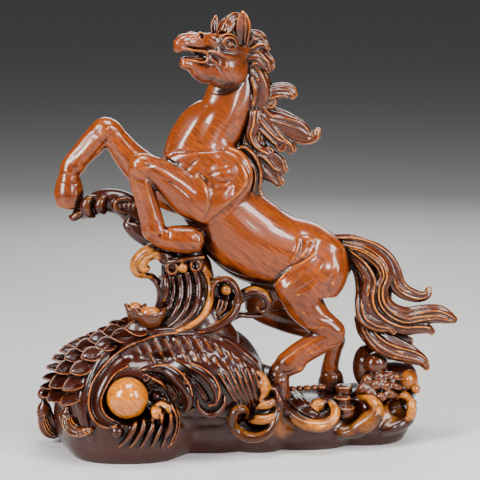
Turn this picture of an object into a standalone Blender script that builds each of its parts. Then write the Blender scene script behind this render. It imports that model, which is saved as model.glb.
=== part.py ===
"""Rearing horse on a scroll and wave base, one casting, in metres, +Z up."""
import math

import bmesh
import bpy
import numpy as np
from mathutils import Matrix, Vector

# Sizes of the statue
STATUE_HEIGHT = 0.400
BASE_DEPTH = 0.144
FOOT_HEIGHT = 0.020
TRUNK_WIDTH = 0.066
PEARL_DIAMETER = 0.037
BEAD_DIAMETER = 0.0115

# Carving and meshing
GROOVE_SHARE = 0.28
VOXEL = 0.0013
SMOOTHING_STEPS = 2
FACES_KEPT = 9700

# Front view sheet: one unit is a share of the height, points are (across, down, depth)
SHEET_HEIGHT = 434.5
UNIT = STATUE_HEIGHT / SHEET_HEIGHT
SHEET_MIDDLE = 240.0
EYE_DISTANCE = 1710.0
EYE_TILT = math.radians(10.0)
AIM_HEIGHT = 208.0
DEEP_HORSE = TRUNK_WIDTH / (72.0 * UNIT)
DEEP_BASE = BASE_DEPTH / (156.0 * UNIT)

# Head pose: the muzzle is turned towards the viewer and raised
HEAD_YAW = math.radians(42.0)
HEAD_PITCH = math.radians(2.2)
POLL = (245.5, 39.5, -4.0)

PART_NAME = "horse_statue"

EYE = np.array([
    0.0, -EYE_DISTANCE * math.cos(EYE_TILT), AIM_HEIGHT + EYE_DISTANCE * math.sin(EYE_TILT),
])


def from_sheet(across, down, depth):
    """Point, in units, that lies at a depth behind a point of the front view."""
    side = (across - SHEET_MIDDLE) / EYE_DISTANCE
    rise = (SHEET_MIDDLE - down) / EYE_DISTANCE
    ahead = math.cos(EYE_TILT) + math.sin(EYE_TILT) * rise
    up = -math.sin(EYE_TILT) + math.cos(EYE_TILT) * rise
    reach = (depth - EYE[1]) / ahead
    return np.array([reach * side, depth, EYE[2] + reach * up])


def head_axes():
    """Forward, up and near-side directions of the head."""
    cy, sy = math.cos(HEAD_YAW), math.sin(HEAD_YAW)
    cp, sp = math.cos(HEAD_PITCH), math.sin(HEAD_PITCH)
    forward = np.array([-cy * cp, -sy * cp, sp])
    up = np.array([cy * sp, sy * sp, cp])
    near = np.array([sy, -cy, 0.0])
    return forward, up, near


HEAD_FORWARD, HEAD_UP, HEAD_NEAR = head_axes()
HEAD_ORIGIN = from_sheet(*POLL)


def from_head(ahead, up, near):
    """Point, in units, given along the head from the poll."""
    return HEAD_ORIGIN + ahead * HEAD_FORWARD + up * HEAD_UP + near * HEAD_NEAR


def spline(rows, steps):
    """Smooth rows through the given rows, a Catmull-Rom curve in every column."""
    rows = np.array(rows, float)
    if len(rows) == 2:
        share = np.linspace(0.0, 1.0, steps + 1)[:, None]
        return rows[0] + (rows[1] - rows[0]) * share
    first = 2.0 * rows[0] - rows[1]
    last = 2.0 * rows[-1] - rows[-2]
    padded = np.vstack([first, rows, last])
    out = []
    for i in range(1, len(padded) - 2):
        a, b, c, d = padded[i - 1], padded[i], padded[i + 1], padded[i + 2]
        for k in range(steps):
            t = k / steps
            out.append(
                0.5
                * (
                    2.0 * b
                    + (c - a) * t
                    + (2.0 * a - 5.0 * b + 4.0 * c - d) * t * t
                    + (3.0 * b - a - 3.0 * c + d) * t ** 3
                )
            )
    out.append(rows[-1])
    return np.array(out)


def straight(x, y, z):
    """Point given directly, in units."""
    return np.array([x, y, z])


class Carving:
    """Collects closed shapes that the voxels join into one body."""

    def __init__(self):
        self.points = []
        self.faces = []

    def add(self, points, faces):
        start = len(self.points)
        self.points.extend(tuple(p) for p in points)
        self.faces.extend(tuple(start + i for i in face) for face in faces)

    def tube(self, rows, place=from_sheet, facing=(0.0, 1.0, 0.0), steps=5, ring=18, flutes=0,
             cut=GROOVE_SHARE, deep=1.0, caps=(0.7, 0.7)):
        """Loft of ellipses along a curve; a row is a point, a half width and a half thickness."""
        fine = spline(rows, steps)
        centre = np.array([place(*row[:3]) for row in fine])
        wide = np.maximum(fine[:, 3], 0.6)
        thick = np.maximum(fine[:, 4], 0.6) * deep
        along = np.gradient(centre, axis=0)
        along /= np.linalg.norm(along, axis=1)[:, None]
        facing = np.array(facing, float)
        back = facing[None, :] - (along @ facing)[:, None] * along
        back /= np.linalg.norm(back, axis=1)[:, None]
        across = np.cross(along, back)
        rings = []
        turn = np.linspace(0.0, 2.0 * math.pi, ring, endpoint=False)
        groove = np.ones(ring)
        if flutes:
            groove = 1.0 - cut * (0.5 + 0.5 * np.cos(flutes * turn)) ** 2
        cos_turn = np.cos(turn) * groove
        sin_turn = np.sin(turn) * groove

        def section(i, share, shift):
            middle = centre[i] + along[i] * shift
            side = across[i][None, :] * (wide[i] * share * cos_turn)[:, None]
            rear = back[i][None, :] * (thick[i] * share * sin_turn)[:, None]
            return middle + side + rear

        last = len(centre) - 1
        length = (caps[0] * min(wide[0], thick[0]), caps[1] * min(wide[last], thick[last]))
        for angle in (80.0, 55.0, 28.0):
            a = math.radians(angle)
            rings.append(section(0, math.cos(a), -math.sin(a) * length[0]))
        for i in range(last + 1):
            rings.append(section(i, 1.0, 0.0))
        for angle in (28.0, 55.0, 80.0):
            a = math.radians(angle)
            rings.append(section(last, math.cos(a), math.sin(a) * length[1]))
        points = [centre[0] - along[0] * length[0]]
        for one in rings:
            points.extend(one)
        points.append(centre[last] + along[last] * length[1])
        faces = []
        for k in range(ring):
            faces.append((0, 1 + (k + 1) % ring, 1 + k))
        for i in range(len(rings) - 1):
            for k in range(ring):
                n = (k + 1) % ring
                a, b = 1 + i * ring, 1 + (i + 1) * ring
                faces.append((a + k, a + n, b + n, b + k))
        end = len(points) - 1
        a = 1 + (len(rings) - 1) * ring
        for k in range(ring):
            faces.append((end, a + k, a + (k + 1) % ring))
        self.add(points, faces)

    def ball(self, centre, radii, axes=None, segments=20, rings=12, power=2.0):
        """Ellipsoid, squarer where the power is over two."""
        mesh = bmesh.new()
        bmesh.ops.create_uvsphere(mesh, u_segments=segments, v_segments=rings, radius=1.0)
        points = []
        axes = np.eye(3) if axes is None else np.array(axes)
        for vertex in mesh.verts:
            unit = np.array(vertex.co)
            unit /= (np.abs(unit) ** power).sum() ** (1.0 / power)
            points.append(np.array(centre) + (unit * np.array(radii)) @ axes)
        faces = [[v.index for v in face.verts] for face in mesh.faces]
        mesh.free()
        self.add(points, faces)


# Masses of the base: middle (x, y, z), half sizes, in units
BASE_POWER = 2.4
BASE_MASSES = (
    ((-105.0, 6.0, 40.0), (80.0, 64.0, 76.0)), ((-112.0, -30.0, 36.0), (64.0, 58.0, 74.0)),
    ((-150.0, 0.0, 34.0), (39.0, 46.0, 54.0)), ((-109.0, -14.0, 38.0), (74.0, 62.0, 76.0)),
    ((-37.0, 2.0, 35.0), (66.0, 52.0, 86.0)), ((18.0, 0.0, 26.0), (36.0, 50.0, 52.0)),
    ((62.0, 6.0, 16.0), (58.0, 46.0, 34.0)), ((122.0, 20.0, 16.0), (52.0, 44.0, 35.0)),
)
# Masses that stand out over the foot: the face with the strokes and the right end
HIGH_MASSES = (
    ((-36.0, -30.0, 69.0), (58.0, 42.0, 44.0)), ((158.0, 22.0, 56.0), (25.0, 24.0, 24.0)),
)
# Rim along the top of the face
RELIEF_RIM = (
    (132, 352, -50, 14, 14), (150, 345, -46, 15, 15), (178, 343, -42, 15, 15),
    (205, 345.5, -38, 14, 15), (228, 355, -36, 12, 14), (246, 369, -34, 10, 13),
    (258, 384, -32, 8, 12),
)
RIM_ROWS = spline(RELIEF_RIM, 5)
RIM_POINTS = np.array([from_sheet(*row[:3]) for row in RIM_ROWS])


def inside_base(x, y, z):
    """True where a point, in units, lies in one of the base's masses or in the rim."""
    for (cx, cy, cz), (rx, ry, rz) in BASE_MASSES + HIGH_MASSES:
        reach = abs((x - cx) / rx) ** BASE_POWER
        reach += abs((y - cy) / (ry * DEEP_BASE)) ** BASE_POWER
        reach += abs((z - cz) / rz) ** BASE_POWER
        if reach <= 1.0:
            return True
    gaps = np.linalg.norm(RIM_POINTS - np.array([x, y, z]), axis=1)
    return bool((gaps < RIM_ROWS[:, 3]).any())


def on_base(across, down, lift):
    """Point on the base's front seen at a point of the sheet, raised by the lift."""
    depth = -120.0
    while depth < 90.0:
        if inside_base(*from_sheet(across, down, depth)):
            return from_sheet(across, down, depth - lift)
        depth += 1.5
    return from_sheet(across, down, -lift)


# Column of the wave: rows are (across, down, depth, half width, half thickness)
COLUMN = (
    (188, 244, -14, 15, 15), (186, 260, -12, 24, 19), (188, 282, -10, 27, 22),
    (190, 303, -13, 30, 26), (190, 318, -19, 37, 28), (190, 332, -21, 47, 28),
    (190, 345, -20, 50, 22),
)


def on_column(across, down, lift):
    """Point on the front of the wave's column seen at a point of the sheet."""
    rows = np.array(COLUMN, float)
    middle, depth, wide, thick = (np.interp(down, rows[:, 1], rows[:, k]) for k in (0, 2, 3, 4))
    side = min(abs(across - middle) / wide, 0.95)
    return from_sheet(across, down, depth - thick * math.sqrt(1.0 - side * side) - lift)


def build_trunk(work):
    """Barrel, haunch and chest."""
    work.tube([
        (174, 170, -12, 17, 19), (192, 182, -10, 28, 26), (214, 202, -8, 36, 31),
        (236, 226, -4, 41, 35), (256, 242, -2, 42, 36), (281, 252, 0, 38, 34),
        (305, 258, 2, 37, 31), (325, 265, 4, 31, 26), (338, 270, 5, 20, 17),
    ], ring=28, deep=DEEP_HORSE)
    work.tube([
        (206, 182, -10, 38, 26), (203, 156, -8, 39, 25), (209, 133, -7, 33.5, 22),
        (224, 114, -6, 26, 18), (231.5, 94, -5, 24.5, 15), (236, 73, -4, 20, 13),
        (241, 54, -4, 15, 12),
    ], ring=28, deep=DEEP_HORSE)


def build_forelegs(work):
    """Shoulders and the two lifted forelegs."""
    work.tube([
        (232, 162, -20, 17, 10), (229, 180, -24, 25, 14), (217, 201, -27, 22, 15),
        (204, 216, -29, 15, 13),
    ], deep=DEEP_HORSE)
    work.ball(from_sheet(224, 174, -28), (17, 12, 15))
    work.tube([
        (196, 180, -34, 6, 6), (204, 192, -37, 8, 7), (204, 206, -37, 8, 7), (199, 217, -34, 6, 6),
    ])
    work.tube([
        (210, 205, -28, 22, 14), (192, 198, -31, 22, 15), (174, 184, -33, 17, 13),
        (158, 172, -35, 14, 11), (143, 168, -36, 14, 11), (142, 180, -36, 12, 10),
        (147, 203, -36, 12, 9), (152, 221, -36, 12, 9), (155, 231, -36, 11, 9),
    ])
    work.tube([
        (152, 228, -36, 9, 9), (161, 237, -36, 11, 9), (175, 239, -36, 13, 11),
        (190, 240, -36, 14, 12), (197, 241, -36, 11, 10),
    ])
    work.tube([
        (190, 196, 6, 22, 16), (168, 188, 9, 22, 15), (148, 174, 11, 19, 13),
        (130, 157, 12, 16, 12), (117, 141, 12, 14, 11), (106, 131, 12, 14, 11),
        (92, 144, 11, 13, 10), (80, 157, 11, 12, 9), (72, 167, 10, 12, 9), (69, 176, 10, 10.5, 9),
    ])
    work.tube([
        (70, 172, 10, 9, 9), (69, 183, 10, 13, 11), (69, 195, 10, 15, 13), (69, 205, 10, 13, 12),
    ], caps=(0.6, 0.4))


def build_hind_legs(work):
    """Thighs, hocks and the two standing hooves."""
    work.tube([
        (325, 248, -6, 24, 18), (316, 268, -12, 32, 22), (306, 287, -18, 32, 20),
        (305, 303, -20, 22, 17), (316, 318, -22, 16, 14), (330, 329, -23, 13, 12),
        (331, 336, -23, 13, 12), (318, 343, -24, 13, 11), (301, 353, -25, 13, 11),
        (286, 365, -26, 13, 12),
    ])
    work.tube([
        (289, 364, -26, 12, 11), (280, 372, -26, 11, 11), (278, 382, -27, 12, 12),
        (277, 394, -27, 13, 13),
    ])
    work.tube([
        (300, 258, 16, 26, 18), (276, 286, 20, 24, 16), (259, 305, 22, 15, 12),
        (284, 318, 24, 14, 12), (312, 328, 25, 12, 11), (334, 337, 26, 11, 10),
        (334, 349, 26, 9, 9), (331, 362, 26, 9, 9), (330, 371, 26, 10, 10), (331, 378, 26, 13, 12),
        (331, 392, 26, 15, 14),
    ])


def build_head(work):
    """Skull, jaws, lips, eyes and ears, the muzzle raised and the mouth open."""
    near = tuple(HEAD_NEAR)

    def limb(rows, **options):
        work.tube(rows, place=from_head, facing=near, **options)

    limb([
        (-4, -13, 0, 13, 10), (8, -11, 0, 15.5, 12), (20, -8.5, 0, 14.5, 13),
        (31, -6.5, 0, 12.5, 11.5), (42, -4.4, 0, 10.5, 9.2), (53, -2.8, 0, 9, 8),
        (63.5, -2.4, 0, 8.8, 8.4), (72.5, -2, 0, 8.2, 8.2), (80, -2.4, 0, 7.4, 7.2),
        (85.5, -4.6, 0, 5.6, 5.6),
    ], ring=24)
    axes = (tuple(HEAD_FORWARD), tuple(HEAD_UP), near)
    work.ball(from_head(84, -8.2, 0), (5.4, 3.2, 5.8), axes)
    limb([
        (14, -24, 0, 15, 9), (30, -23, 0, 13, 9), (44, -18.5, 0, 9.5, 8.2), (52, -16, 0, 6.4, 7.8),
    ])
    limb([
        (14, -34, 0, 14, 9), (30, -34, 0, 13.5, 9), (43, -31.5, 0, 11.5, 8.5),
        (53, -31, 0, 10.5, 8), (61, -28.6, 0, 8.5, 7.4), (68, -25, 0, 6.2, 7),
        (74, -23.4, 0, 5.4, 6.4), (78, -22.8, 0, 4.8, 5.2),
    ])
    for side in (-1.0, 1.0):
        work.ball(from_head(20.5, -28, 7.0 * side), (19, 16, 7.4), axes)
        work.ball(from_head(30, -2, 9.5 * side), (9, 5.5, 4.2), axes)
        work.ball(from_head(30.6, -3.8, 11.0 * side), (4.8, 3.8, 3.8), axes)
        work.ball(from_head(67, 0.2, 5.6 * side), (8, 5.2, 4.4), axes)
        limb([
            (55, -11.2, 8 * side, 2, 1.8), (40, -14.4, 10 * side, 2.8, 2.6),
            (17, -18.5, 11.5 * side, 3, 2.6),
        ])
    work.tube([
        (11, -4, 9, 5, 4.2), (12.2, 7, 12, 6.6, 4.8), (13.5, 15.5, 15, 6.9, 4.6),
        (15, 23.5, 17.2, 4.4, 3.4), (16, 28.6, 18.2, 1.6, 1.6),
    ], place=from_head)
    work.tube([
        (25, 1, -10.5, 6.4, 4.2), (26, 8.5, -13.5, 6, 4.4), (26.2, 15.5, -15.2, 4.4, 3.4),
        (25.6, 22, -16, 1.6, 1.5),
    ], place=from_head)
    work.ball(from_head(16, 9, 0), (11, 11, 8.5), axes)
    for side in (-7.5, -3.0, 2.0, 6.5):
        drop = 0.0625 * side * side
        limb([
            (3, 8 - drop, side, 4, 3.6), (9, 17 - drop, side, 5, 4),
            (16, 20.5 - drop, side, 5, 4.2), (23.5, 16.5 - drop, side, 4.6, 3.8),
            (28.5, 8.5 - drop, side, 3, 2.4),
        ])


# Locks of hair: points (across, down, depth), half width, half thickness
MANE_LOCKS = (
    ((244, 42, -8, 6, 6), (252, 36, -9, 6.4, 6), (259, 35.5, -9, 5, 5), (264, 38.5, -8, 3, 3.4)),
    ((246, 50, -9, 7, 6), (256, 44, -10, 7, 5.5), (263, 44.5, -9, 5.6, 5),
     (267.5, 49.5, -8, 3.6, 3.6)),
    ((246, 58, -10, 9, 6), (256, 57.5, -10, 9.4, 6), (265, 63.5, -9, 7.6, 5),
     (270, 70, -8, 3.8, 3.4)),
    ((250, 70, -10, 7, 6), (257, 78, -10, 9, 6), (261, 88, -9, 10, 6.4), (259, 98, -8, 9, 6),
     (254, 108, -7, 5, 4)),
    ((259, 99, -6, 9, 6), (270, 94, -6, 8.4, 6), (282, 91.5, -5, 6.6, 5.4), (290, 93, -4, 5.4, 4.8),
     (293.5, 97, -4, 3, 3.2)),
    ((251, 78, -9, 7, 6), (254, 92, -9, 8, 6), (254, 104, -8, 7, 5.5), (251, 114, -7, 4, 3)),
    ((256, 108, -6, 9, 6), (268, 120, -6, 11.4, 7), (282, 125, -5, 12.6, 7),
     (296, 132, -4, 11.4, 6), (307, 138, -3, 7, 4.6), (315, 137, -3, 4.6, 3.6),
     (316.5, 131, -3, 2.6, 2.4)),
    ((254, 114, -9, 8, 6), (264, 126, -8, 8.4, 6), (276, 138, -7, 8.6, 6), (287, 145, -6, 7, 5.4),
     (292, 152, -5, 3, 3)),
    ((254, 112, -12, 6, 5), (254, 124, -13, 6, 5), (251.6, 135, -13, 5, 4.6),
     (256, 146, -13, 5.2, 4.4), (264, 152, -12, 5, 4), (271, 156, -11, 2.8, 2.8)),
    ((255, 150, -9, 9, 6.4), (266, 158, -8, 10, 6), (276, 165, -6, 8.6, 5.4),
     (283.5, 172, -5, 4.4, 4)),
    ((254, 160, -8, 9, 6), (264, 170, -7, 9, 5.6), (273, 177, -6, 7, 5), (280.5, 185, -5, 3.2, 3)),
    ((236, 153, -13, 5, 5), (244, 151.5, -15, 6, 5.4), (252, 158, -15, 7, 5.4),
     (257.5, 170, -14, 6.4, 5), (257, 182, -13, 5.4, 4.4), (255.5, 191, -12, 4.4, 3.6),
     (260, 199, -11, 2.6, 2.6)),
    ((239, 158, -10, 6, 6), (246, 168, -11, 7, 6), (251, 180, -11, 6, 5), (252, 193, -10, 4, 3.4)),
)
MANE_CORE = (
    (244, 42, 0, 9, 9), (249, 68, 0, 10, 10), (254, 96, -1, 10, 10), (254, 126, -2, 12, 12),
    (252, 154, -3, 14, 13), (256, 172, -3, 11, 9),
)

TAIL_LOCKS = (
    ((334, 241, 2, 8, 7), (352, 240.5, 1, 7.4, 7), (370, 247, -2, 8.4, 7), (384, 259, -4, 9.4, 7),
     (391, 272, -5, 9.6, 7), (396, 284, -5, 9, 6.4), (405, 292, -4, 8, 5.6), (418, 296, -2, 6.4, 5),
     (427, 294, 0, 4.6, 4.2), (429, 288, 1, 2.4, 2.4)),
    ((344, 244, 0, 6, 6), (364, 250, -6, 7.4, 6), (380, 262, -9, 8.4, 6.4),
     (385, 275, -10, 8.4, 6.4), (381, 288, -11, 8.4, 6.4), (383, 301, -11, 9, 6.4),
     (392, 311, -10, 9.6, 6.4), (406, 316, -9, 10.4, 6.4), (421, 314, -7, 10.2, 6),
     (436, 313, -5, 9.6, 5.4), (448, 317, -4, 6.6, 4.4), (456, 320.5, -3, 2.6, 2.4)),
    ((347, 250, 2, 7, 8), (362, 264, -3, 9, 8), (371, 280, -7, 9.4, 7.4), (370, 296, -9, 9.4, 7.4),
     (375, 310, -10, 9.4, 7), (388, 321, -10, 9, 6.4), (404, 327, -9, 8.4, 5.6),
     (419, 327.5, -8, 6.8, 5), (428, 329, -7, 4.8, 4.2), (433.5, 332.5, -6, 2.4, 2.4)),
    ((350, 254, 7, 6, 8), (360, 272, 4, 6.6, 8), (363, 290, 0, 7.2, 8), (362, 305, -5, 7.6, 8),
     (365, 318, -9, 8, 7), (376, 325.5, -12, 7, 6), (388, 327.5, -13, 5.6, 5),
     (394.5, 332.5, -13, 2.8, 2.8)),
    ((362, 316, 2, 9, 8), (369, 331, -2, 12, 8), (381, 342, -6, 13.5, 7.4),
     (396, 349.5, -7, 12.6, 6.6), (411, 355, -7, 10, 6), (422.5, 361, -6, 6.4, 5),
     (427.5, 369, -6, 2.8, 3)),
    ((366, 312, 10, 10, 8), (378, 330, 8, 10, 8), (396, 338, 6, 9, 7), (411, 342, 4, 4.4, 4)),
)
TAIL_CORE = (
    (334, 243, 5, 8, 8), (354, 249, 4, 9, 8), (372, 264, 3, 11, 8), (379, 284, 2, 13, 8),
    (378, 306, 1, 14, 9), (382, 328, 1, 14, 9), (392, 346, 1, 9, 8),
)


def build_hair(work):
    """Mane and tail, as locks with grooves along them."""
    work.tube(MANE_CORE)
    work.tube(TAIL_CORE)
    for rows in MANE_LOCKS:
        work.tube(rows, flutes=6)
    for rows in TAIL_LOCKS:
        work.tube(rows, flutes=6, ring=24)
    for rows in MANE_LOCKS[2:]:
        far = [(a + 2.0, b - 2.0, 10.0 - d * 0.6, w, t) for a, b, d, w, t in rows]
        work.tube(far, flutes=6)
    for rows in TAIL_LOCKS[:3]:
        far = [(a - 1.0, b + 1.0, 14.0 - d * 0.5, w * 0.9, t) for a, b, d, w, t in rows]
        work.tube(far, flutes=6, ring=24)


def build_waves(work):
    """Fluted wave column with its curls, and the branch under the far hoof."""
    work.tube(COLUMN, ring=28)
    for k in range(6):
        share = k / 5.0
        fat = 3.6 + 0.6 * share
        work.tube([
            (166 + 37 * share, 279 - 11 * share, 1, fat, 4.6),
            (167 + 41 * share, 289 - 8 * share, 1, fat, 4.6),
            (165 + 45 * share, 300 - 3 * share, 1, fat, 4.6),
            (159 + 45 * share, 311 + 4 * share, 1, fat, 4.6),
            (149 + 42 * share, 320 + 5 * share, 1, fat * 0.9, 4.6),
            (137 + 40 * share, 326 + 5.5 * share, 0, fat * 0.6, 4),
        ], place=on_column)
    for shift, depth in ((0.0, -24), (7.0, -30)):
        work.tube([
            (180 - 0.3 * shift, 266, depth + 4, 8, 9), (167, 255 + 0.5 * shift, depth, 8, 9),
            (156 + 0.4 * shift, 250 + 0.6 * shift, depth, 7, 8.4),
            (146 + 0.8 * shift, 251.5 + 0.6 * shift, depth, 5.4, 8),
            (138.5 + 0.9 * shift, 258 + 0.3 * shift, depth, 5.4, 7.6),
            (135.5 + shift, 266, depth, 5.6, 7.4),
            (138 + 0.9 * shift, 272.5 - 0.5 * shift, depth, 4.8, 6.4),
        ])
    work.tube([
        (141, 276, -22, 2.6, 4.6), (149, 275.6, -23, 3.4, 6), (156, 281, -24, 3.6, 7),
        (159.5, 290, -24, 3.2, 7), (159, 300, -24, 2.6, 6),
    ])
    work.ball(from_sheet(226.8, 289.4, -35), (5.7, 5.7, 5.7))
    work.tube([
        (212, 297, -34, 2, 4), (213.5, 286, -35, 2.6, 5), (220, 279.6, -35, 3, 6),
        (229.5, 280, -35, 3.2, 6.4), (236, 287.5, -35, 3.4, 7.4), (238.2, 299, -35, 3.8, 8),
        (235.4, 310.5, -36, 4.2, 8.8), (227, 320, -38, 4.4, 9), (214, 327.5, -41, 4.2, 8.6),
        (199, 331.5, -44, 3, 6),
    ])
    work.tube([(216, 284, -18, 10, 12), (224, 300, -18, 12, 14), (216, 318, -20, 16, 16)])
    work.tube([
        (226, 314, -20, 6, 8), (235, 303, -22, 6, 8.4), (243.5, 295, -23, 6, 8.6),
        (253.5, 291, -24, 5.6, 8.6), (263.5, 294.5, -24, 5.4, 8.4), (268.5, 302.5, -24, 5, 8),
        (266, 310, -24, 3.8, 6.4), (260, 310.5, -24, 2.6, 4.6),
    ])
    work.tube([
        (224, 320, -18, 6, 8), (239, 314.5, -18, 3.6, 7), (250, 315.5, -18, 2.8, 5.4),
        (262, 315, -18, 1.8, 3.4),
    ])
    work.tube([
        (178, 256, -4, 15, 13), (160, 243, 2, 13.5, 12), (143, 225, 6, 12.5, 11),
        (125, 204, 9, 12, 10), (105, 200, 10, 12, 10), (89, 205.5, 10, 10, 9),
        (77, 212, 10, 6.5, 8), (70, 217, 10, 3, 4),
    ], flutes=6)
    work.tube([
        (178, 254, -14, 8, 8), (162, 246.5, -13, 6, 7), (147, 240, -12, 5.4, 6.4),
        (134, 233, -10, 5, 6), (126, 225.5, -8, 3.6, 5),
    ])
    for across in (172, 183, 195.5):
        work.ball(from_sheet(across, 267.5, -36), (5.6, 5, 5.6))


def build_base_body(work):
    """Masses of the base and its plain foot."""
    for (cx, cy, cz), (rx, ry, rz) in BASE_MASSES:
        work.ball((cx, cy, cz), (rx, ry * DEEP_BASE, rz), power=BASE_POWER, segments=48, rings=28)
        sink = 1.0 - (cz / rz) ** BASE_POWER
        share = sink ** (1.0 / BASE_POWER)
        foot = FOOT_HEIGHT / UNIT
        mesh = bmesh.new()
        bmesh.ops.create_cone(mesh, cap_ends=True, segments=48, radius1=1.0, radius2=1.0, depth=1.0)
        points = []
        for vertex in mesh.verts:
            flat = np.array([vertex.co.x, vertex.co.y])
            flat /= (np.abs(flat) ** BASE_POWER).sum() ** (1.0 / BASE_POWER)
            height = foot if vertex.co.z > 0.0 else -6.0
            points.append((
                cx + flat[0] * (rx * share + 2.0),
                cy + flat[1] * (ry * DEEP_BASE * share + 2.0),
                height,
            ))
        faces = [[v.index for v in face.verts] for face in mesh.faces]
        mesh.free()
        work.add(points, faces)
    for middle, (rx, ry, rz) in HIGH_MASSES:
        work.ball(middle, (rx, ry * DEEP_BASE, rz), power=BASE_POWER, segments=40, rings=24)
    work.tube(RELIEF_RIM)


def build_scroll(work):
    """Arch band, pearl, leaves, fins and shallow strokes on the left of the base."""
    def raised(rows, lift=0.0, **options):
        work.tube(rows, place=lambda a, b, c: on_base(a, b, c + lift), **options)

    raised([
        (85.5, 424, 0, 5.6, 7.6), (82.5, 409, 1, 6.6, 7.6), (83.5, 393, 1, 7, 7.6),
        (88, 376, 1, 7.2, 7.6), (97.5, 359, 1, 7, 7.6), (113.5, 343.5, 1, 6.2, 7.6),
        (136, 333.5, 1, 5.2, 7.6), (160, 330, 1, 4.2, 7), (186, 329, 1, 3.6, 7),
        (210, 332.5, 1, 3.4, 7), (234, 344, 1, 3.2, 7), (256, 362, 1, 2.8, 7),
    ])
    raised([
        (129, 345.6, 1, 2, 4), (109, 360.4, 1, 2, 4), (94, 380, 1, 2, 4), (89, 397, 1, 2, 4),
        (90, 411, 1, 2, 4), (96.6, 422.6, 1, 2, 4), (107, 427.6, 1, 2, 4),
    ])
    work.ball(on_base(117, 432, 3.0), (6.4, 6.4, 6.4))
    radius = PEARL_DIAMETER / 2.0 / UNIT
    work.ball(on_base(128, 398, -4.0), (radius, radius, radius), segments=28, rings=18)
    work.ball(on_base(155, 397, 0.0), (6, 6, 6))
    raised([
        (155.4, 414.5, 9, 3.8, 5.4), (155, 408.4, 9, 4.6, 6.4), (161.5, 405, 9, 4.8, 6.6),
        (168.5, 409, 8.5, 5, 6.6), (172, 418, 7.5, 4.8, 6.4), (172, 430, 6, 4.2, 5.8),
        (168, 441, 4, 3, 4.4), (163, 448, 2, 1.6, 2),
    ])
    for k in range(5):
        across = 130.0 + 9.0 * k
        raised([
            (across + 5, 420.5 - 1.4 * k, 3, 2.2, 4), (across + 4.6, 426.5, 4.6, 3.3, 6.2),
            (across + 0.8, 434, 4.6, 3.4, 6.4), (across - 5 + 0.8 * k, 441.5, 3, 2.8, 4.6),
            (across - 11 + 1.6 * k, 448, 1, 1.6, 2),
        ])
    raised([
        (142, 370, 0, 2, 3), (152, 368.5, 3, 4, 5), (165, 370, 5, 6.4, 6.4), (177, 378, 6, 6.6, 7),
        (185.5, 388.5, 6, 5.6, 7), (189.5, 399, 6, 4.4, 6.4), (187, 408, 5, 3.4, 5.6),
        (179, 411.5, 4, 2.2, 4),
    ])
    raised([
        (178, 360, 1, 2, 3), (188, 365, 4, 3, 4.6), (200, 371, 5, 4, 5.4), (210.5, 380, 6, 4.4, 6),
        (216.5, 391.5, 6, 4, 6), (216.5, 402, 6, 3, 5), (210, 405, 5, 2.2, 4),
    ])
    raised([
        (197, 400, 3, 2, 2.4), (199.5, 408.5, 4, 2.6, 4), (208, 414.5, 5, 3.4, 5),
        (218, 412.5, 5, 3.2, 5), (223.5, 405, 4, 2.6, 4),
    ])
    for k in range(6):
        raised([
            (207 + 9 * k, 372 + 3 * k, 0, 1.8, 2), (222 + 7 * k, 392 + 2 * k, 0, 1.8, 2),
            (232 + 6 * k, 408, 0, 1.6, 2),
        ])
    for row, first, last in ((0, 136, 240), (1, 152, 238)):
        for k in range(6 - row):
            across = first + (last - first) * k / (5.0 - row)
            down = 343.5 + 12.5 * row + 0.0042 * (across - 184.0) ** 2
            raised([
                (across - 2, down - 5, 0, 1.6, 2), (across, down, 0.4, 1.8, 2.2),
                (across + 1.4, down + 5, 0, 1.6, 2),
            ])


def build_scales(work):
    """Rows of overlapping leaf scales over the left shoulder of the base."""
    outer = spline([(41, 393), (42.5, 378), (50, 361), (63, 347), (80, 338), (99, 330), (120, 318)], 6)
    inner = spline([(73, 402), (77, 383), (86, 365), (100, 350), (118, 340), (136, 332), (152, 325)], 6)
    steps = np.arange(len(outer))
    for column, share, count in ((2, 0.86, 7), (1, 0.46, 8), (0, 0.06, 11)):
        for i in range(count):
            spot = (i + 0.25 + 0.25 * (column % 2)) / count
            index = spot * (len(outer) - 1)
            near = np.array([np.interp(index, steps, outer[:, k]) for k in range(2)])
            far = np.array([np.interp(index, steps, inner[:, k]) for k in range(2)])
            across, down = near * (1.0 - share) + far * share
            low = 1.0 - spot
            if column == 0:
                root = on_base(max(across + 15.0, 58.0), down + 4.0, -1.0)
                root = root + np.array([min(across - 43.0, 0.0), 3.0, 0.0])
                lean = np.array([-20.0 + 2.0 * low, -2.0, 4.0 - 6.0 * low])
                facing, wide = (0.05, -0.22, 0.97), 7.0
            else:
                root = on_base(across + 9.0, down + 1.0, 0.4)
                lean = np.array([-20.0 + 3.0 * low, -6.0, 3.0 - 12.0 * low])
                facing, wide = (-0.30, -0.62, 0.66), 8.0
            rows = [
                (*root, wide * 0.7, 1.8), (*(root + lean * 0.4), wide, 1.8),
                (*(root + lean * 0.75), wide * 0.7, 1.6), (*(root + lean), 1.6, 1.2),
            ]
            work.tube(rows, place=straight, facing=facing, steps=3, ring=12)


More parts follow.
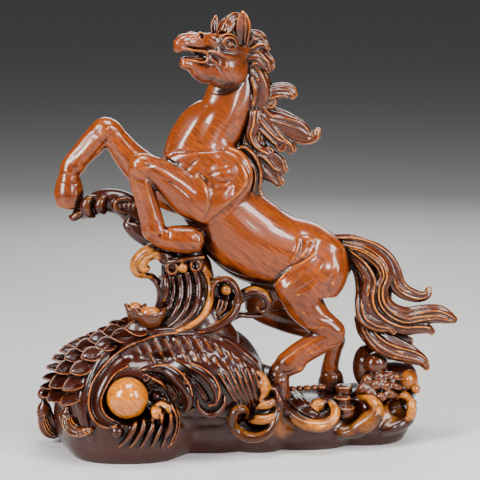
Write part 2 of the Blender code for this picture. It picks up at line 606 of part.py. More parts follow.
def build_tassels(work):
    """Two beads, each with a tassel, at the left end."""
    radius = BEAD_DIAMETER / 2.0 / UNIT
    left = (
        (44.2, 401.5, -4, 3.5, 3.5), (44.6, 406, -4, 6, 6), (44.7, 411, -4, 6.9, 6.9),
        (46, 416, -4, 7, 6), (47.6, 423, -4, 8.4, 6.4), (50.6, 429, -4, 8.6, 6.2),
        (54.6, 432.6, -3, 6, 5), (59.4, 433.2, -2, 3, 3), (62.4, 431.4, -1, 1.6, 1.6),
    )
    right = (
        (67.2, 408.5, 3, 3.4, 4), (67.2, 413.5, 3, 5.8, 6), (67, 418, 3, 6.6, 6.6),
        (68.6, 422, 3, 6.6, 6), (72, 427.4, 3, 7, 6), (77.4, 431.4, 3, 6.2, 5.4),
        (84, 432.4, 3, 3.8, 4), (90.4, 430.4, 3, 1.8, 1.8),
    )
    for rows, place, bead in (
        (left, from_sheet, (43.5, 394, -4)), (right, on_base, (65.5, 401.5, 3)),
    ):
        work.ball(place(*bead), (radius, radius, radius))
        work.tube(rows, place=place, flutes=8)


def boat(work, centre, length, wide):
    """Ingot: a boat shaped dish with raised ends and a domed middle."""
    x, y, z = centre
    work.tube([
        (x - length, y, z + 8, 2.4, 3), (x - length * 0.78, y, z + 2.5, 5.6, wide * 0.66),
        (x - length * 0.3, y, z - 1, 7.6, wide), (x + length * 0.3, y, z - 1, 7.6, wide),
        (x + length * 0.78, y, z + 2.5, 5.6, wide * 0.66), (x + length, y, z + 7, 2.4, 3),
    ], place=straight)
    work.ball((x, y - 1.0, z + 5), (length * 0.5, wide * 0.74, 8.0))


def build_ornaments(work):
    """Ingots, lobes, curls, bowls and balls on the middle and right of the base."""
    boat(work, from_sheet(150, 316.5, -48), 16, 12)
    boat(work, from_sheet(134, 309, -26), 12, 10)
    # Lobes of the curl, and the curl
    work.tube([
        (257, 372, 2, 1.6, 3), (261.5, 377, 4, 4.4, 6), (263.5, 386, 5.5, 7, 8),
        (262.5, 394, 5, 6, 7), (259.5, 400, 3, 2.4, 4),
    ], place=on_base)
    work.tube([
        (255.5, 407, 3, 2.4, 4), (261, 405.5, 5, 4.6, 6.4), (268, 404, 5.5, 5.2, 6.6),
        (274, 401, 4, 3.2, 4),
    ], place=on_base)
    work.tube([
        (250, 420, 3, 2.4, 4), (257, 419.5, 5.5, 5, 6.6), (266, 419, 6, 5.4, 7),
        (272.5, 415, 4, 3.4, 5),
    ], place=on_base)
    work.tube([
        (246.5, 411.5, 6.5, 2.8, 4.4), (240.5, 408.6, 7, 4, 6), (233, 414, 7, 4.8, 7),
        (232.5, 424.5, 7, 5, 7.4), (240.5, 433.6, 7, 5.4, 7.6), (253, 437.5, 7, 5.4, 7.6),
        (266, 433.6, 7, 5.2, 7.4), (274, 424, 7, 5, 7), (277.6, 411, 6, 4.4, 6.4),
        (277, 398, 5, 3.6, 5.6), (273, 387, 3, 2.2, 4),
    ], place=on_base)
    # Three waves on the right
    work.tube([
        (276, 390, 2, 2.4, 4.4), (281, 402, 4.5, 3.8, 6), (290, 414, 6, 5, 7.4),
        (303, 423, 7, 6, 8.4), (318, 426, 8, 6.6, 9), (331, 421.5, 8, 6.2, 9),
        (335.5, 411.5, 8, 5.4, 8), (330.5, 403, 7, 4.2, 6.6), (322, 400.5, 6, 2.6, 4.4),
    ], place=on_base)
    work.ball(on_base(318.5, 405, 1.0), (9, 8, 7.6))
    work.tube([
        (358, 392, 3, 2.2, 4), (366, 395.5, 6, 4.6, 7), (373.5, 402, 8, 6.8, 9),
        (376, 412, 8.5, 8, 10), (369, 421, 8, 8.2, 10), (357, 428, 7, 7, 9),
        (345.5, 431.5, 5, 4.8, 7), (337, 434.5, 3, 2.2, 4),
    ], place=on_base)
    work.tube([
        (396, 400, 3, 2, 3), (398, 395, 5.5, 3.2, 5), (405.5, 395.5, 6, 4.2, 6.4),
        (411, 403, 6.5, 4.8, 7), (411, 413, 6.5, 5, 7.4), (404, 421.5, 6, 5, 7.4),
        (393, 427, 4, 3.4, 5),
    ], place=on_base)
    # Bowls, balls, trunk and petals between them
    for across, down, depth, radius in ((344, 388, 0, 9), (342, 399, -14, 8.5), (345.5, 409, -27, 9)):
        bowl = from_sheet(across, down, depth) - np.array([0.0, 0.0, 2.0])
        work.ball(bowl, (radius, radius, radius * 0.75))
    work.ball(from_sheet(405.5, 380, 10), (13, 13, 12.5))
    work.ball(from_sheet(415.5, 389, -1), (5, 5, 5))
    work.ball(from_sheet(378, 360, 6), (13.4, 13, 13.4))
    work.tube([
        (355, 388, 10, 9, 11), (356, 374, 10, 9, 10), (360, 361, 8, 8, 9), (366, 351, 6, 6, 8),
    ])
    work.tube([(376, 392, 10, 15, 17), (378, 378, 10, 12, 13), (384, 368, 10, 8, 8)])
    petals = (
        ((366, 394), (374, 384), (388, 376), -6, 5.2),
        ((378, 399), (386, 390), (397, 383), -10, 5.0),
        ((360, 388), (367, 378), (377, 371), -2, 4.6),
        ((390, 400), (397, 394), (403, 389), -8, 4.0),
        ((352, 392), (359, 386), (366, 382), -8, 4.2),
        ((378, 377), (386, 369), (394, 366), 2, 4.6),
    )
    for first, second, third, depth, wide in petals:
        work.tube([
            first + (depth, wide * 0.5, 3), second + (depth - 3, wide, 5),
            third + (depth + 1, wide * 0.7, 4),
        ])


def build_back(work):
    """Plainer waves on the side away from the viewer."""
    for side, reach in ((-112.0, 30.0), (-20.0, 26.0), (60.0, 20.0), (128.0, 20.0)):
        rows = []
        for k in range(9):
            turn = math.radians(-60.0 + 42.0 * k)
            share = 1.0 - 0.075 * k
            x = side + reach * share * math.cos(turn)
            z = 30.0 + reach * share * math.sin(turn) * 0.9
            y = 80.0
            while y > 0.0 and not inside_base(x, y, z):
                y -= 1.5
            rows.append((x, y, z, 4.5 * share + 1.0, 5.0))
        work.tube(rows, place=straight)


def keep_body(mesh):
    """Delete closed bubbles inside the casting, so that its one skin remains."""
    seen = set()
    groups = []
    mesh.verts.ensure_lookup_table()
    for start in mesh.verts:
        if start.index in seen:
            continue
        seen.add(start.index)
        stack, group = [start], []
        while stack:
            vertex = stack.pop()
            group.append(vertex)
            for edge in vertex.link_edges:
                other = edge.other_vert(vertex)
                if other.index not in seen:
                    seen.add(other.index)
                    stack.append(other)
        groups.append(group)
    groups.sort(key=len)
    for group in groups[:-1]:
        bmesh.ops.delete(mesh, geom=group, context="VERTS")


def varnish():
    """Glossy red-brown varnish over the whole casting."""
    material = bpy.data.materials.new("varnished_brown")
    material.use_nodes = True
    shader = material.node_tree.nodes["Principled BSDF"]
    shader.inputs["Base Color"].default_value = (0.30, 0.095, 0.022, 1.0)
    shader.inputs["Roughness"].default_value = 0.22
    shader.inputs["Metallic"].default_value = 0.0
    return material


def main():
    """Build the statue and place it on its underside at the origin."""
    for thing in list(bpy.data.objects):
        bpy.data.objects.remove(thing, do_unlink=True)
    parts = bpy.data.collections.new(PART_NAME + "_parts")
    cutters = bpy.data.collections.new(PART_NAME + "_cutters")
    bpy.context.scene.collection.children.link(parts)
    bpy.context.scene.collection.children.link(cutters)

    work = Carving()
    builders = (
        build_trunk, build_forelegs, build_hind_legs, build_head, build_hair, build_waves,
        build_base_body, build_scroll, build_scales, build_tassels, build_ornaments, build_back,
    )
    for build in builders:
        build(work)
    mesh = bpy.data.meshes.new(PART_NAME)
    mesh.from_pydata([tuple(UNIT * c for c in p) for p in work.points], [], work.faces)
    statue = bpy.data.objects.new(PART_NAME, mesh)
    parts.objects.link(statue)

    voxels = statue.modifiers.new("join", "REMESH")
    voxels.mode = "VOXEL"
    voxels.voxel_size = VOXEL
    soften = statue.modifiers.new("soften", "SMOOTH")
    soften.factor = 0.5
    soften.iterations = SMOOTHING_STEPS
    view = bpy.context.evaluated_depsgraph_get()
    joined = bpy.data.meshes.new_from_object(statue.evaluated_get(view))
    statue.modifiers.clear()
    clean = bmesh.new()
    clean.from_mesh(joined)
    keep_body(clean)
    bmesh.ops.triangulate(clean, faces=clean.faces)
    count = len(clean.faces)
    clean.to_mesh(joined)
    clean.free()
    statue.data = joined

    thin = statue.modifiers.new("facets", "DECIMATE")
    thin.ratio = FACES_KEPT / count
    view = bpy.context.evaluated_depsgraph_get()
    faceted = bpy.data.meshes.new_from_object(statue.evaluated_get(view))
    statue.modifiers.clear()
    statue.data = faceted

    low = np.array([min(v.co[i] for v in faceted.vertices) for i in range(3)])
    high = np.array([max(v.co[i] for v in faceted.vertices) for i in range(3)])
    middle = (low + high) / 2.0
    faceted.transform(Matrix.Translation((-middle[0], -middle[1], 0.0)))

    size = STATUE_HEIGHT
    box = bpy.data.meshes.new("underside_cut")
    cube = bmesh.new()
    bmesh.ops.create_cube(cube, size=size * 2.0)
    cube.to_mesh(box)
    cube.free()
    cutter = bpy.data.objects.new("underside_cut", box)
    cutter.location = Vector((0.0, 0.0, -size))
    cutter.hide_render = True
    cutter.display_type = "WIRE"
    cutters.objects.link(cutter)
    flat = statue.modifiers.new("flat_underside", "BOOLEAN")
    flat.operation = "DIFFERENCE"
    flat.solver = "EXACT"
    flat.object = cutter
    statue.data.materials.clear()
    statue.data.materials.append(varnish())
    return middle


MIDDLE = main()
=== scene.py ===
import math

import bpy
import numpy as np
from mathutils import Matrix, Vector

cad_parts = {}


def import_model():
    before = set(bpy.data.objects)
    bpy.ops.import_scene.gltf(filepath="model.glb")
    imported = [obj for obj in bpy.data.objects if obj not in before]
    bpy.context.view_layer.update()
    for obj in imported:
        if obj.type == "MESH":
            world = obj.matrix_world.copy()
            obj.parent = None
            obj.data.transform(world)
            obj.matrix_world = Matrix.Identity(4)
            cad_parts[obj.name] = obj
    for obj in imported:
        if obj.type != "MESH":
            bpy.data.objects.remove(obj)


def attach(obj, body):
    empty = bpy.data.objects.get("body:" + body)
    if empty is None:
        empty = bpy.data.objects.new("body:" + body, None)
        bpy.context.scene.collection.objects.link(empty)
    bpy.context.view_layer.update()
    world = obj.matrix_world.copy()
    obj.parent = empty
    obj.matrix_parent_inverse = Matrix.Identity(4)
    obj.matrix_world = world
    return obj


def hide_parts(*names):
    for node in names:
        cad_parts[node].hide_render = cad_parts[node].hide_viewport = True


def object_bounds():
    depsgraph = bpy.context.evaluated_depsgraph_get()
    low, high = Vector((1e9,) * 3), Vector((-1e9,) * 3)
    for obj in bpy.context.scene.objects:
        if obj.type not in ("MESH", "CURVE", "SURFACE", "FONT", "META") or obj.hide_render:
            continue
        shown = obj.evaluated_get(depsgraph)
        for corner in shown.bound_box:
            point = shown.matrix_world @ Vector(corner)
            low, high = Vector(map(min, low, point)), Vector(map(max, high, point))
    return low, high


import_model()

import openvdb as vdb
from mathutils import Vector

CAD_LOW, CAD_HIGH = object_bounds()

# Sizes of the statue, in metres, as the solid has them
STATUE_HEIGHT = 0.400
BASE_DEPTH = 0.144
FOOT_HEIGHT = 0.020
TRUNK_WIDTH = 0.066
PEARL_DIAMETER = 0.037
BEAD_DIAMETER = 0.0115

# The solid was centred on its box after it was laid out: the same move, in metres
MIDDLE = (0.00666, -0.01178)

# Front view sheet: one unit is a share of the height, points are (across, down, depth)
SHEET_HEIGHT = 434.5
UNIT = STATUE_HEIGHT / SHEET_HEIGHT
SHEET_MIDDLE = 240.0
EYE_DISTANCE = 1710.0
EYE_TILT = math.radians(10.0)
AIM_HEIGHT = 208.0
DEEP_HORSE = TRUNK_WIDTH / (72.0 * UNIT)
DEEP_BASE = BASE_DEPTH / (156.0 * UNIT)
EYE = np.array([0.0, -EYE_DISTANCE * math.cos(EYE_TILT), AIM_HEIGHT + EYE_DISTANCE * math.sin(EYE_TILT)])

# Head pose
HEAD_YAW = math.radians(42.0)
HEAD_PITCH = math.radians(2.2)
POLL = (245.5, 39.5, -4.0)

# Depth of the pearl's middle, in units
PEARL_DEPTH = -84.0

# Fineness of the carved surfaces, in units
COARSE = 1.0
BODY_STEP = 1.0 * COARSE
HEAD_STEP = 0.5 * COARSE
BASE_STEP = 0.8 * COARSE
WAVE_STEP = 0.7 * COARSE
HAIR_STEP = 0.62 * COARSE
LEAF_STEP = 0.55 * COARSE
WHOLE_STEP = 1.6

# Most triangles of each carved surface, by the name of its first piece
MOST_TRIANGLES = {
    "horse_front": 150000, "horse_head": 110000, "base_left": 228000, "wave_column": 104000,
    "leaf_scales": 84000, "mane": 90000, "tail": 90000, "tassels": 30000, "dark_ornaments": 28000,
    "gold_ornaments": 12000, "pearl": 10000,
}

# Reach of the distance fields on each side of a surface, in units
BAND = 7.0
WIDE_BAND = 16.0


def from_sheet(across, down, depth):
    """Points, in units, at a depth behind points of the front view."""
    across, down, depth = np.broadcast_arrays(across, down, depth)
    side = (across - SHEET_MIDDLE) / EYE_DISTANCE
    rise = (SHEET_MIDDLE - down) / EYE_DISTANCE
    ahead = math.cos(EYE_TILT) + math.sin(EYE_TILT) * rise
    up = -math.sin(EYE_TILT) + math.cos(EYE_TILT) * rise
    reach = (depth - EYE[1]) / ahead
    return np.stack([reach * side, depth.astype(float), EYE[2] + reach * up], -1)


def head_axes():
    """Forward, up and near-side directions of the head."""
    cy, sy = math.cos(HEAD_YAW), math.sin(HEAD_YAW)
    cp, sp = math.cos(HEAD_PITCH), math.sin(HEAD_PITCH)
    return (
        np.array([-cy * cp, -sy * cp, sp]), np.array([cy * sp, sy * sp, cp]), np.array([sy, -cy, 0.0]),
    )


HEAD_FORWARD, HEAD_UP, HEAD_NEAR = head_axes()
HEAD_ORIGIN = from_sheet(*POLL)


def from_head(ahead, up, near):
    """Points, in units, given along the head from the poll."""
    ahead, up, near = (np.asarray(v, float)[..., None] for v in (ahead, up, near))
    return HEAD_ORIGIN + ahead * HEAD_FORWARD + up * HEAD_UP + near * HEAD_NEAR


def plain(x, y, z):
    """Points given straight in units."""
    return np.stack(np.broadcast_arrays(x, y, z), -1).astype(float)


def spline(rows, steps):
    """Smooth rows through the given rows, a Catmull-Rom curve in every column."""
    rows = np.array(rows, float)
    if len(rows) == 2:
        share = np.linspace(0.0, 1.0, steps + 1)[:, None]
        return rows[0] + (rows[1] - rows[0]) * share
    padded = np.vstack([2.0 * rows[0] - rows[1], rows, 2.0 * rows[-1] - rows[-2]])
    out = []
    for i in range(1, len(padded) - 2):
        a, b, c, d = padded[i - 1], padded[i], padded[i + 1], padded[i + 2]
        t = (np.arange(steps) / steps)[:, None]
        out.append(0.5 * (
            2 * b + (c - a) * t + (2 * a - 5 * b + 4 * c - d) * t ** 2 + (3 * b - a - 3 * c + d) * t ** 3
        ))
    out.append(rows[-1:])
    return np.vstack(out)


def frames(centre, facing):
    """Directions along, behind and across a curve at each of its points."""
    along = np.gradient(centre, axis=0)
    along /= np.linalg.norm(along, axis=1)[:, None] + 1e-9
    facing = np.array(facing, float)
    back = facing[None, :] - (along @ facing)[:, None] * along
    back /= np.linalg.norm(back, axis=1)[:, None] + 1e-9
    return along, back, np.cross(along, back)


def skin(centre, wide, thick, along, back, across, ring, profile, caps):
    """Closed surface of ellipses round a curve: points, quads, triangles."""
    turn = np.linspace(0.0, 2.0 * math.pi, ring, endpoint=False)
    cos_turn, sin_turn = np.cos(turn), np.sin(turn)
    count = len(centre)
    shape = np.ones((count, ring))
    if profile is not None:
        shape = profile(np.linspace(0, 1, count)[:, None], turn[None, :])
    last = count - 1
    ends = (caps[0] * min(wide[0], thick[0]), caps[1] * min(wide[last], thick[last]))
    angles = np.radians([80.0, 58.0, 36.0, 16.0])
    order = [(0, math.cos(a), -math.sin(a) * ends[0]) for a in angles]
    order += [(i, 1.0, 0.0) for i in range(count)]
    order += [(last, math.cos(a), math.sin(a) * ends[1]) for a in angles[::-1]]
    at = np.array([o[0] for o in order])
    share = np.array([o[1] for o in order])[:, None]
    shift = np.array([o[2] for o in order])[:, None]
    side = (wide[at][:, None] * share * cos_turn * shape[at])[:, :, None] * across[at][:, None, :]
    rear = (thick[at][:, None] * share * sin_turn * shape[at])[:, :, None] * back[at][:, None, :]
    rings = (centre[at] + along[at] * shift)[:, None, :] + side + rear
    points = np.vstack([
        (centre[0] - along[0] * ends[0])[None], rings.reshape(-1, 3),
        (centre[last] + along[last] * ends[1])[None],
    ])
    k = np.arange(ring)
    n = (k + 1) % ring
    row = 1 + np.arange(len(order) - 1)[:, None] * ring
    quads = np.stack([row + k, row + n, row + ring + n, row + ring + k], -1).reshape(-1, 4)
    tail = 1 + (len(order) - 1) * ring
    first = np.stack([np.zeros(ring, int), 1 + n, 1 + k], -1)
    final = np.stack([np.full(ring, len(points) - 1), tail + k, tail + n], -1)
    return points, quads, np.vstack([first, final])


def tube(
    rows, place=from_sheet, facing=(0.0, 1.0, 0.0), steps=8, ring=28, profile=None, deep=1.0,
    caps=(0.75, 0.75),
):
    """Loft of ellipses; a row is a point, a half width and a half thickness."""
    fine = spline(rows, steps)
    centre = place(*fine[:, :3].T)
    along, back, across = frames(centre, facing)
    wide = np.maximum(fine[:, 3], 0.4)
    thick = np.maximum(fine[:, 4], 0.4) * deep
    return skin(centre, wide, thick, along, back, across, ring, profile, caps)


def ball(centre, radii, axes=None, segments=36, rings=24, power=2.0):
    """Ellipsoid, squarer where the power is over two: points, quads, triangles."""
    lat = np.linspace(-math.pi / 2, math.pi / 2, rings + 1)[1:-1]
    turn = np.linspace(0.0, 2.0 * math.pi, segments, endpoint=False)
    body = np.stack([
        np.cos(lat)[:, None] * np.cos(turn), np.cos(lat)[:, None] * np.sin(turn),
        np.repeat(np.sin(lat)[:, None], segments, 1),
    ], -1).reshape(-1, 3)
    unit = np.vstack([[[0, 0, -1.0]], body, [[0, 0, 1.0]]])
    unit /= ((np.abs(unit) ** power).sum(1) ** (1.0 / power))[:, None]
    axes = np.eye(3) if axes is None else np.array(axes)
    points = np.array(centre) + (unit * np.array(radii)) @ axes
    k = np.arange(segments)
    n = (k + 1) % segments
    row = 1 + np.arange(rings - 2)[:, None] * segments
    quads = np.stack([row + k, row + n, row + segments + n, row + segments + k], -1).reshape(-1, 4)
    tail = 1 + (rings - 2) * segments
    first = np.stack([np.zeros(segments, int), 1 + n, 1 + k], -1)
    final = np.stack([np.full(segments, len(points) - 1), tail + k, tail + n], -1)
    return points, quads, np.vstack([first, final])


def gather(meshes):
    """Several surfaces as one set of points, quads and triangles."""
    points, quads, tris, start = [], [], [], 0
    for p, q, t in meshes:
        points.append(p)
        quads.append(np.asarray(q).reshape(-1, 4) + start)
        tris.append(np.asarray(t).reshape(-1, 3) + start)
        start += len(p)
    return np.vstack(points), np.vstack(quads), np.vstack(tris)


class Field:
    """Distances to the carved surface on a regular grid, negative inside, in units."""

    def __init__(self, low, high, step, band=BAND):
        self.step = step
        self.band = band
        self.first = np.floor(np.array(low) / step).astype(int)
        last = np.ceil(np.array(high) / step).astype(int)
        self.data = np.full(tuple(last - self.first + 1), band, np.float32)

    def measure(self, mesh):
        """Distances to a closed surface, with the part of the grid that they cover."""
        points, quads, tris = mesh
        grid = vdb.FloatGrid.createLevelSetFromPolygons(
            np.ascontiguousarray(points, np.float32), triangles=np.ascontiguousarray(tris, np.uint32),
            quads=np.ascontiguousarray(quads, np.uint32),
            transform=vdb.createLinearTransform(voxelSize=self.step), halfWidth=self.band / self.step,
        )
        reach = self.band + self.step
        low = np.maximum(np.floor((points.min(0) - reach) / self.step).astype(int), self.first)
        high = np.minimum(
            np.ceil((points.max(0) + reach) / self.step).astype(int),
            self.first + np.array(self.data.shape) - 1,
        )
        part = np.empty(tuple(high - low + 1), np.float32)
        grid.copyToArray(part, ijk=tuple(int(v) for v in low))
        where = tuple(slice(int(a), int(b) + 1) for a, b in zip(low - self.first, high - self.first))
        return where, part

    def join(self, mesh, soft=0.0):
        """Add a shape, with a fillet of about the soft width."""
        where, new = self.measure(mesh)
        old = self.data[where]
        low = np.minimum(old, new)
        if soft:
            near = (np.abs(old) < self.band * 0.97) & (np.abs(new) < self.band * 0.97)
            h = np.maximum(soft - np.abs(old - new), 0.0) / soft
            low = low - np.where(near, h * h * soft * 0.25, 0.0)
        self.data[where] = low

    def cut(self, mesh, soft=0.0):
        """Take a shape away."""
        where, new = self.measure(mesh)
        new = -new
        old = self.data[where]
        high = np.maximum(old, new)
        if soft:
            near = (np.abs(old) < self.band * 0.97) & (np.abs(new) < self.band * 0.97)
            h = np.maximum(soft - np.abs(old - new), 0.0) / soft
            high = high + np.where(near, h * h * soft * 0.25, 0.0)
        self.data[where] = high

    def value(self, points):
        """Distance at the grid's nearest point."""
        index = np.rint(points / self.step).astype(int) - self.first
        size = np.array(self.data.shape)
        inside = ((index >= 0) & (index < size)).all(-1)
        index = np.clip(index, 0, size - 1)
        found = self.data[index[..., 0], index[..., 1], index[..., 2]]
        return np.where(inside, found, self.band)

    def surface(self, across, down, lift=0.0):
        """Points of the carved front seen at points of the sheet, raised by the lift."""
        across, down, lift = np.broadcast_arrays(
            np.atleast_1d(across), np.atleast_1d(down), np.atleast_1d(lift),
        )
        depths = np.arange(-125.0, 100.0, 0.8)
        hit = self.value(from_sheet(across[:, None], down[:, None], depths[None, :])) < 0.0
        found = hit.any(1)
        depth = depths[np.where(found, hit.argmax(1), 0)]
        for _ in range(3):
            depth = depth + 0.9 * trilinear(self, from_sheet(across, down, depth))
        if not found.all():
            depth = np.where(found, depth, depth[found].mean() if found.any() else 0.0)
        if len(depth) > 6:
            padded = np.concatenate([depth[:1], depth[:1], depth, depth[-1:], depth[-1:]])
            depth = np.convolve(padded, np.array([1.0, 2.0, 3.0, 2.0, 1.0]) / 9.0, mode="valid")
        return from_sheet(across, down, depth - lift)

    def mark(self, rows, width, height, taper=0.5, steps=10):
        """Ridge, or groove where the height is negative, along a curve on the surface."""
        fine = spline(rows, steps)
        line = self.surface(fine[:, 0], fine[:, 1])
        share = np.linspace(0.0, 1.0, len(line))
        heights = np.sin(math.pi * np.clip(share, 0.02, 0.98)) ** taper
        reach = 2.6 * width
        low = np.floor((line.min(0) - reach) / self.step).astype(int) - self.first
        high = np.ceil((line.max(0) + reach) / self.step).astype(int) - self.first
        low = np.maximum(low, 0)
        high = np.minimum(high, np.array(self.data.shape) - 1)
        if (high <= low).any():
            return
        total = np.zeros(tuple(high - low + 1), np.float32)
        for point, tall in zip(line, heights):
            a = np.maximum(np.floor((point - reach) / self.step).astype(int) - self.first - low, 0)
            b = np.minimum(
                np.ceil((point + reach) / self.step).astype(int) - self.first - low,
                np.array(total.shape) - 1,
            )
            if (b < a).any():
                continue
            axes = [
                (np.arange(a[i], b[i] + 1) + low[i] + self.first[i]) * self.step - point[i]
                for i in range(3)
            ]
            gap = axes[0][:, None, None] ** 2 + axes[1][None, :, None] ** 2 + axes[2][None, None, :] ** 2
            box = tuple(slice(int(a[i]), int(b[i]) + 1) for i in range(3))
            total[box] = np.maximum(total[box], tall * np.exp(-gap / (width * width)))
        where = tuple(slice(int(a), int(b) + 1) for a, b in zip(low, high))
        self.data[where] -= height * total

    def soften(self, times=1):
        """Blur the grid a little, which rounds the sharpest edges."""
        for _ in range(times):
            for axis in range(3):
                ahead = np.roll(self.data, 1, axis)
                behind = np.roll(self.data, -1, axis)
                self.data = 0.5 * self.data + 0.25 * (ahead + behind)

    def foot(self, rounding, reach):
        """Draw the surface in towards the floor and cut it off flat there."""
        levels = (np.arange(self.data.shape[2]) + self.first[2]) * self.step
        inset = rounding * np.clip(1.0 - levels / reach, 0.0, 1.0) ** 2
        self.data += inset[None, None, :].astype(np.float32)
        self.data = np.maximum(self.data, -levels[None, None, :].astype(np.float32))

    def mesh(self):
        """The carved surface as points and quads."""
        grid = vdb.FloatGrid(self.band)
        grid.copyFromArray(np.ascontiguousarray(self.data), ijk=tuple(int(v) for v in self.first))
        grid.transform = vdb.createLinearTransform(voxelSize=self.step)
        points, quads = grid.convertToQuads(0.0)
        points, quads = np.array(points, float), np.array(quads, int)
        return points, outward(points, quads), np.zeros((0, 3), int)


def outward(points, quads):
    """The quads turned so that the surface faces out."""
    a, b, c, d = (points[quads[:, i]] for i in range(4))
    volume = np.einsum("ij,ij->i", a, np.cross(b, c)).sum()
    volume += np.einsum("ij,ij->i", a, np.cross(c, d)).sum()
    return quads if volume > 0.0 else quads[:, ::-1]


# Horse: rows are (across, down, depth, half width, half thickness)
TRUNK = (
    (174, 170, -12, 17, 19), (192, 182, -10, 28, 26), (214, 202, -8, 36, 31), (236, 226, -4, 41, 35),
    (256, 242, -2, 42, 36), (281, 252, 0, 38, 34), (305, 258, 2, 37, 31), (325, 265, 4, 31, 26),
    (338, 270, 5, 20, 17),
)
NECK = (
    (206, 182, -10, 38, 26), (203, 156, -8, 39, 25), (209, 133, -7, 33.5, 22), (224, 114, -6, 26, 18),
    (231.5, 94, -5, 24.5, 15), (236, 73, -4, 20, 13), (241, 54, -4, 15, 12),
)
NEAR_SHOULDER = (
    (233, 162, -20, 15, 9), (230, 180, -24, 22, 13), (218, 200, -27, 20, 15), (205, 215, -29, 14, 13),
)
NEAR_ARM = (
    (210, 205, -28, 20, 14), (192, 198, -31, 21, 15), (174, 184, -33, 17, 13), (158, 172, -35, 13.5, 11),
    (143, 168, -36, 13, 11), (141, 180, -36, 11.5, 10), (147, 203, -36, 11, 8.5),
    (152, 221, -36, 11.5, 9), (155, 231, -36, 11, 9),
)
NEAR_HOOF = (
    (152, 228, -36, 9, 9), (161, 237, -36, 10.5, 9), (175, 239, -36, 13.5, 11), (190, 240, -36, 14.5, 12),
    (196, 241, -36, 12, 11),
)
FAR_ARM = (
    (190, 196, 6, 22, 16), (168, 188, 9, 22, 15), (148, 174, 11, 19, 13), (130, 157, 12, 15.5, 12),
    (117, 141, 12, 13, 11), (106, 131, 12, 13.5, 11), (92, 144, 11, 13, 10), (80, 157, 11, 11.5, 9),
    (72, 167, 10, 11.5, 9), (69, 176, 10, 10, 9),
)
FAR_HOOF = ((70, 172, 10, 9, 9), (69, 183, 10, 13, 11), (69, 195, 10, 15, 13), (69, 205, 10, 13, 12))
NEAR_THIGH = (
    (325, 248, -6, 24, 18), (316, 268, -12, 31, 22), (306, 287, -18, 31, 20), (305, 303, -20, 21, 17),
    (316, 318, -22, 15.5, 14), (330, 329, -23, 12.5, 12), (331, 336, -23, 12.5, 11),
    (318, 343, -24, 12.5, 10), (301, 353, -25, 12.5, 10), (286, 365, -26, 12.5, 11),
)
NEAR_HIND_HOOF = (
    (289, 364, -26, 11, 10), (280, 371, -26, 10.5, 10), (278, 380, -27, 11.5, 11),
    (277, 394, -27, 13, 13),
)
FAR_THIGH = (
    (300, 258, 16, 26, 18), (276, 286, 20, 24, 16), (259, 305, 22, 15, 12), (284, 318, 24, 14, 12),
    (312, 328, 25, 12, 11), (334, 337, 26, 11, 10), (334, 349, 26, 8.5, 8.5), (331, 362, 26, 8.5, 8.5),
    (330, 371, 26, 10, 10), (331, 378, 26, 13, 12), (331, 392, 26, 15, 14),
)


# Knees, fetlocks and hocks, then buttock and stifle: middle, half sizes, fillet
HORSE_BALLS = (
    ((142, 166, -38), (12.5, 10, 12), 3.0), ((105, 130, 10), (13, 11, 12), 3.0),
    ((78, 166, 9), (8, 8, 7), 3.0), ((152, 231, -36), (10, 9, 9.5), 3.0),
    ((336, 331, -23), (9, 9, 10), 3.0), ((296, 366, -26), (9, 9, 7), 3.0),
    ((330, 272, -12), (17, 20, 24), 6.0), ((290, 288, -26), (14, 12, 16), 6.0),
    ((308, 240, -14), (10, 12, 8), 6.0),
)


def horse_field():
    """Body, neck and legs, with the muscles and folds that the varnish shows."""
    body = Field((-206, -66, 36), (128, 62, 400), BODY_STEP)
    body.join(tube(TRUNK, ring=48, deep=DEEP_HORSE))
    body.join(tube(NECK, ring=48, deep=DEEP_HORSE), 6.0)
    body.join(tube(FAR_THIGH), 5.0)
    body.join(tube(NEAR_THIGH, ring=40), 6.0)
    body.join(tube(FAR_ARM), 4.0)
    body.join(tube(FAR_HOOF, caps=(0.6, 0.4)), 2.0)
    body.join(tube(NEAR_HIND_HOOF), 2.0)
    # Shoulder blade with its upper muscles, laid over the barrel
    body.join(tube(NEAR_SHOULDER, ring=40, deep=DEEP_HORSE), 2.0)
    body.join(tube([
        (222, 152, -22, 8, 6), (238, 160, -25, 9, 8), (244, 175, -27, 9, 9), (238, 190, -29, 9, 9),
        (224, 206, -32, 8, 8),
    ]), 3.0)
    body.join(tube([
        (170, 160, -20, 6, 6), (190, 158, -24, 9, 8), (212, 158, -25, 11, 9), (228, 166, -25, 9, 8),
    ]), 4.5)
    body.join(ball(from_sheet(224, 174, -28), (17, 12, 15)), 4.5)
    body.join(tube([(184, 168, -26, 6, 6), (196, 172, -29, 8, 7), (208, 177, -30, 8, 6)]), 4.0)
    body.join(tube(NEAR_ARM, ring=36), 2.5)
    body.join(tube([
        (196, 180, -35, 6, 6), (204, 192, -38, 8, 7), (204, 206, -38, 8, 7), (199, 217, -35, 6, 6),
    ]), 3.0)
    body.join(tube([(226, 186, -34, 8, 6), (220, 200, -36, 10, 7), (211, 212, -34, 8, 6)]), 3.0)
    body.join(tube(NEAR_HOOF), 1.5)
    for middle, radii, soft in HORSE_BALLS:
        body.join(ball(from_sheet(*middle), radii), soft)
    body.soften()
    mark_muscles(body)
    return body


